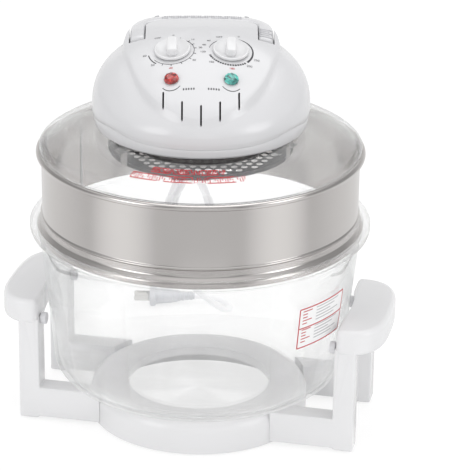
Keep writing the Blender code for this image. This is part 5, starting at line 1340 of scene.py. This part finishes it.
@dataclass
class PowerCord:
    """The mains lead: from the gland down into a tied hank behind the bowl, then to its plug on the floor."""

    diameter: float = 0.0064
    middle: Vector = field(default_factory=lambda: Vector((-0.0100, 0.1795, 0.1830)))
    half_run: float = 0.0400
    reach: float = 0.0196
    run_step: float = 0.0038
    layer: float = 0.0072
    waist: float = 0.0120
    waist_spread: float = 0.0240
    steps: tuple[int, ...] = (1, 0, 0, 1, 2)
    plug_at: Pair = (-0.0554, 0.2586)
    plug_length: float = 0.0500

    def hank(self) -> list[Vector]:
        """The runs and turns of the hank, as the part's source winds them."""
        runs = []
        for run, count in enumerate(self.steps):
            side = -1 if run % 2 == 0 else 1
            runs.append((side * (self.reach + self.run_step * count), (0.5 if run < 2 else -0.5) * self.layer, side))
        points = []
        for number, (x, y, side) in enumerate(runs):
            for i in range(17):
                height = -side * self.half_run * (1 - i / 8)
                waist = self.waist * math.exp(-(height / self.waist_spread) ** 2)
                points.append(self.middle + Vector((x - side * waist, y, height)))
            if number + 1 < len(runs):
                nx, ny, _ = runs[number + 1]
                tall = 1.08 if number == len(runs) - 2 else 1.0
                for a in (math.pi * i / 16 for i in range(1, 16)):
                    mid, radius = 0.5 * (x + nx), 0.5 * (x - nx)
                    z = side * (self.half_run + abs(radius) * math.sin(a) * tall)
                    between = y + (ny - y) * 0.5 * (1 - math.cos(a))
                    points.append(self.middle + Vector((mid + radius * math.cos(a), between, z)))
        straight = Vector((0, 0, self.diameter))
        return [points[0] + straight] + points + [points[-1] - straight]

    def route(self) -> list[Vector]:
        """The whole centre line, from the gland's end to the plug's tail."""
        d = self.diameter
        hank = self.hank()
        first, last = hank[0], hank[-1]
        exit_y = COVER_RADIUS + GLAND_LENGTH + GAP
        lead = [(0, exit_y, GLAND_HEIGHT), (0, exit_y + d, GLAND_HEIGHT), (-0.0020, 0.1580, 0.3250),
                (-0.0070, 0.1700, 0.3130), (-0.0150, 0.1790, 0.2950), (-0.0245, 0.1825, 0.2700),
                (first.x, first.y, first.z + d), tuple(first)]
        end = Vector((self.plug_at[0] + self.plug_length + GAP, self.plug_at[1], PLUG_HEIGHT))
        tail = [tuple(last), (last.x, last.y, last.z - d), (-0.0352, 0.1775, 0.1150), (-0.0300, 0.1815, 0.0880),
                (-0.0145, 0.1900, 0.0580), (0.0085, 0.2010, 0.0300), (0.0262, 0.2178, 0.0110),
                (0.0336, 0.2366, 0.0040), (0.0276, 0.2526, 0.0042), (0.0146, 0.2576, 0.0065),
                (end.x + d, end.y, end.z), tuple(end)]
        return flowing(lead, 5)[:-1] + hank[:-1] + flowing(tail, 5)

    def build(self) -> None:
        path = self.route()
        lead = tube("mains_lead", path, 0.5 * self.diameter, 4)
        Piece(lead, "head", Finish.CORD, ("power_cord", "cord_hank", "cord_tail")).hang()
        length = sum((b - a).length for a, b in zip(path, path[1:]))
        LOG.info("cord length %.3f m", length)
        pieces = [self.plug()] + self.blades() + [self.tie()]
        self.gland()
        tuple(path[0])

    def tie(self) -> Any:
        """The black band round the hank's waist."""
        waist = self.reach + self.run_step * max(self.steps) - self.waist
        half = (waist + 0.5 * self.diameter + 4 * GAP, 0.5 * self.layer + 0.5 * self.diameter + 2 * GAP)
        rings = []
        for grow, z in ((0, -0.003), (0.0010, -0.003), (0.0015, -0.0025), (0.0016, 0), (0.0015, 0.0025),
                        (0.0010, 0.003), (0, 0.003)):
            rings.append([self.middle + Vector(((half[0] + grow) * x, (half[1] + grow) * y, z))
                          for x, y in (squared(a, 0.35) for a in turns(64))])
        return Piece(skinned("hank_tie", rings, loop=True), "head", Finish.BLACK, ("cord_tie",), 50).hang()

    def gland(self) -> None:
        """The tapered, ribbed relief where the cord leaves the cover."""
        inside, begin, end = COVER_RADIUS - 0.0073, COVER_RADIUS + GAP, COVER_RADIUS + GLAND_LENGTH
        root, tip = 0.0062, 0.0042
        outline = [(0, inside), (0.0085, inside), (0.0085, inside + 0.002), (root, inside + 0.002), (root, begin)]
        step = (GLAND_LENGTH - GAP) / 8
        for k in range(8):
            r = root + (tip - root) * k / 8 - 0.0005 * (k % 2)
            outline += [(r, begin + (k + share) * step) for share in (0.12, 0.88)]
        outline = rounded(outline + [(tip, end), (0, end)], 0.0005, 2)
        made = spun("gland_relief", outline, 48, Vector((0, 0, GLAND_HEIGHT)), Quaternion((1, 0, 0), -math.pi / 2))
        Piece(made, "head", Finish.CORD, ("cord_gland",)).hang()

    def plug(self) -> Any:
        """The moulded plug: rim, waisted body, ribbed tail."""
        x0, y0 = self.plug_at
        shares = ((0.0, 0.44, 0.44), (0.01, 0.48, 0.47), (0.03, 0.5, 0.5), (0.12, 0.5, 0.5), (0.14, 0.46, 0.47),
                  (0.15, 0.36, 0.42), (0.25, 0.345, 0.41), (0.34, 0.33, 0.40), (0.44, 0.30, 0.39), (0.5, 0.28, 0.38),
                  (0.515, 0.25, 0.36), (0.62, 0.235, 0.34), (0.635, 0.19, 0.31))
        stations = [(self.plug_length * a, 0.0330 * w, 0.0160 * h, 3.2) for a, w, h in shares]
        begin, root, tip = self.plug_length * 0.64, 0.0056, 0.0040
        step = (self.plug_length - begin) / 8
        for k in range(8):
            r = root + (tip - root) * k / 8 - 0.00064 * (k % 2)
            stations += [(begin + (k + t) * step, r, r, 2.0) for t in (0.15, 0.85)]
        stations.append((self.plug_length, tip, tip, 2.0))
        rings = [[Vector((x0 + along, y0 + width * y, PLUG_HEIGHT + depth * z))
                  for y, z in (squared(a, 2 / power) for a in turns(48))] for along, width, depth, power in stations]
        return Piece(skinned("plug_moulding", rings), "head", Finish.PLUG, ("plug_body",), 35).hang()

    def blades(self) -> list[Any]:
        """The two flat blades with chamfered tips."""
        found = []
        x0, y0 = self.plug_at
        half, length, cut = 0.00315, 0.0175, 0.0016
        outline = [(x0 - GAP, -half), (x0 - GAP, half), (x0 - length + cut, half), (x0 - length, half - cut),
                   (x0 - length, cut - half), (x0 - length + cut, -half)]
        for number, side in ((1, -1), (2, 1)):
            place = Matrix.Translation((0, y0 + side * 0.00635, PLUG_HEIGHT)) @ UPRIGHT
            made = bevelled(extruded(f"blade_{number}", outline, -0.00075, 0.00075, place), 0.0002, 2)
            found.append(Piece(made, "head", Finish.BLADE, (f"plug_blade_{number}",)).hang())
        return found


@dataclass
class Studio:
    """Camera, floor, white surround and soft lamps."""

    pitch: float = math.radians(22.392)
    roll: float = math.radians(0.5)
    picture: float = 470.0

    def camera(self) -> None:
        """The camera at the photograph's place."""
        data = bpy.data.cameras.new("camera")
        data.lens = 184.34
        data.sensor_width = 36.0
        data.shift_x = 35.0 / self.picture
        data.shift_y = -0.8 / self.picture
        data.clip_end = 20.0
        made = linked("camera", data)
        made.matrix_world = (Matrix.Translation((0, -2.2, 1.0956)) @ Matrix.Rotation(math.pi / 2 - self.pitch, 4, "X")
                             @ Matrix.Rotation(self.roll, 4, "Z"))
        bpy.context.scene.camera = made

    def surround(self) -> None:
        """White world for the camera and through glass, bright boxes for gloss, and a plain light for the rest."""
        world = bpy.data.worlds.new("world")
        bpy.context.scene.world = world
        world.use_nodes = True
        tree = world.node_tree
        camera, glossy, through = ray_kinds(tree)
        way = tree.nodes.new("ShaderNodeSeparateXYZ")
        tree.links.new(tree.nodes.new("ShaderNodeTexCoord").outputs["Generated"], way.inputs[0])
        x, y, z = (Value(tree, way.outputs[k]) for k in range(3))
        turn = x.azimuth(y)
        gap = turn.bump(0.0, 1.5) * z.bump(0.05, 0.09) * 0.9
        sides = turn.bump(0.95, 0.40) * z.bump(0.25, 0.45) * 0.95
        boxes = sides + z.bump(1.0, 0.40) * 0.55 + turn.bump(3.14, 1.0) * z.bump(0.0, 0.5) * 0.55
        seen = (camera + through).clamped()
        level = seen + (1.0 - seen) * (glossy * (boxes + 0.38) * (1.0 - gap) + (1.0 - glossy) * 0.92)
        brightest = 1.5
        mix = tree.nodes.new("ShaderNodeMix")
        mix.data_type = "RGBA"
        mix.inputs[6].default_value = (0, 0, 0, 1)
        mix.inputs[7].default_value = (brightest, brightest, brightest, 1)
        tree.links.new((level / brightest).socket, mix.inputs[0])
        tree.links.new(mix.outputs[2], tree.nodes["Background"].inputs["Color"])

    def floor(self) -> None:
        """A pale floor that keeps the shadow."""
        mesh = bmesh.new()
        bmesh.ops.create_grid(mesh, x_segments=1, y_segments=1, size=6.0)
        bmesh.ops.translate(mesh, verts=mesh.verts[:], vec=(0, 0, -0.0002))
        made = to_object("floor", mesh, merge=0)
        s = Shader("floor_paper")
        camera, glossy, through = ray_kinds(s.tree)
        spot = s.node("ShaderNodeSeparateXYZ", Vector=s.where())
        turn = Value(s.tree, spot.outputs[0]).azimuth(Value(s.tree, spot.outputs[1]))
        look = ((turn.bump(0.92, 0.42) + turn.bump(2.4, 1.0) * 0.5) * glossy + (1.0 - glossy)).clamped()
        light = s.node("ShaderNodeEmission", Color=s.tint(look, (0.70, 0.70, 0.70), (1.08, 1.08, 1.08)), Strength=1.0)
        s.finish(Base_Color=(0.93, 0.93, 0.93, 1), Roughness=0.9)
        seen = ((camera + through) * 0.72 + glossy).clamped()
        mix = s.node("ShaderNodeMixShader")
        for key, item in enumerate((seen, s.base.outputs[0], light.outputs[0])):
            s.put(mix, key, item)
        s.put(s.tree.nodes["Material Output"], "Surface", mix.outputs[0])
        made.data.materials.append(s.material)

    def lamps(self) -> None:
        """A broad lamp overhead and three weaker ones at the sides and in front."""
        for name, place, size, power, aim in (
                ("top", (0.2, 0.3, 1.9), 1.6, 7.0, 0.2), ("left", (-1.4, -1.3, 1.0), 1.0, 4.0, 0.2),
                ("right", (1.6, -0.9, 1.1), 0.9, 3.5, 0.2), ("front", (0.1, -1.9, 0.45), 1.4, 2.0, 0.08)):
            data = bpy.data.lights.new(name, "AREA")
            data.shape = "DISK"
            data.size = size
            data.energy = power
            made = linked(name, data)
            made.location = place
            made.visible_transmission = False
            made.rotation_euler = (Vector((0, 0, aim)) - Vector(place)).to_track_quat("-Z", "Y").to_euler()

    def build(self) -> None:
        """Sets up the whole studio."""
        for step in (self.camera, self.surround, self.floor, self.lamps):
            step()
        bpy.context.scene.view_settings.view_transform = "Standard"


def main() -> None:
    """Builds the studio and every sub-assembly in order."""
    logging.basicConfig(level=logging.INFO, format="%(name)s: %(message)s")
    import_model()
    for group in (Studio(), PowerCord(), Head(), GlassLid(), SteelRing(), Bowl(), Stand(), Heater()):
        group.build()


if __name__ == "__main__":
    main()
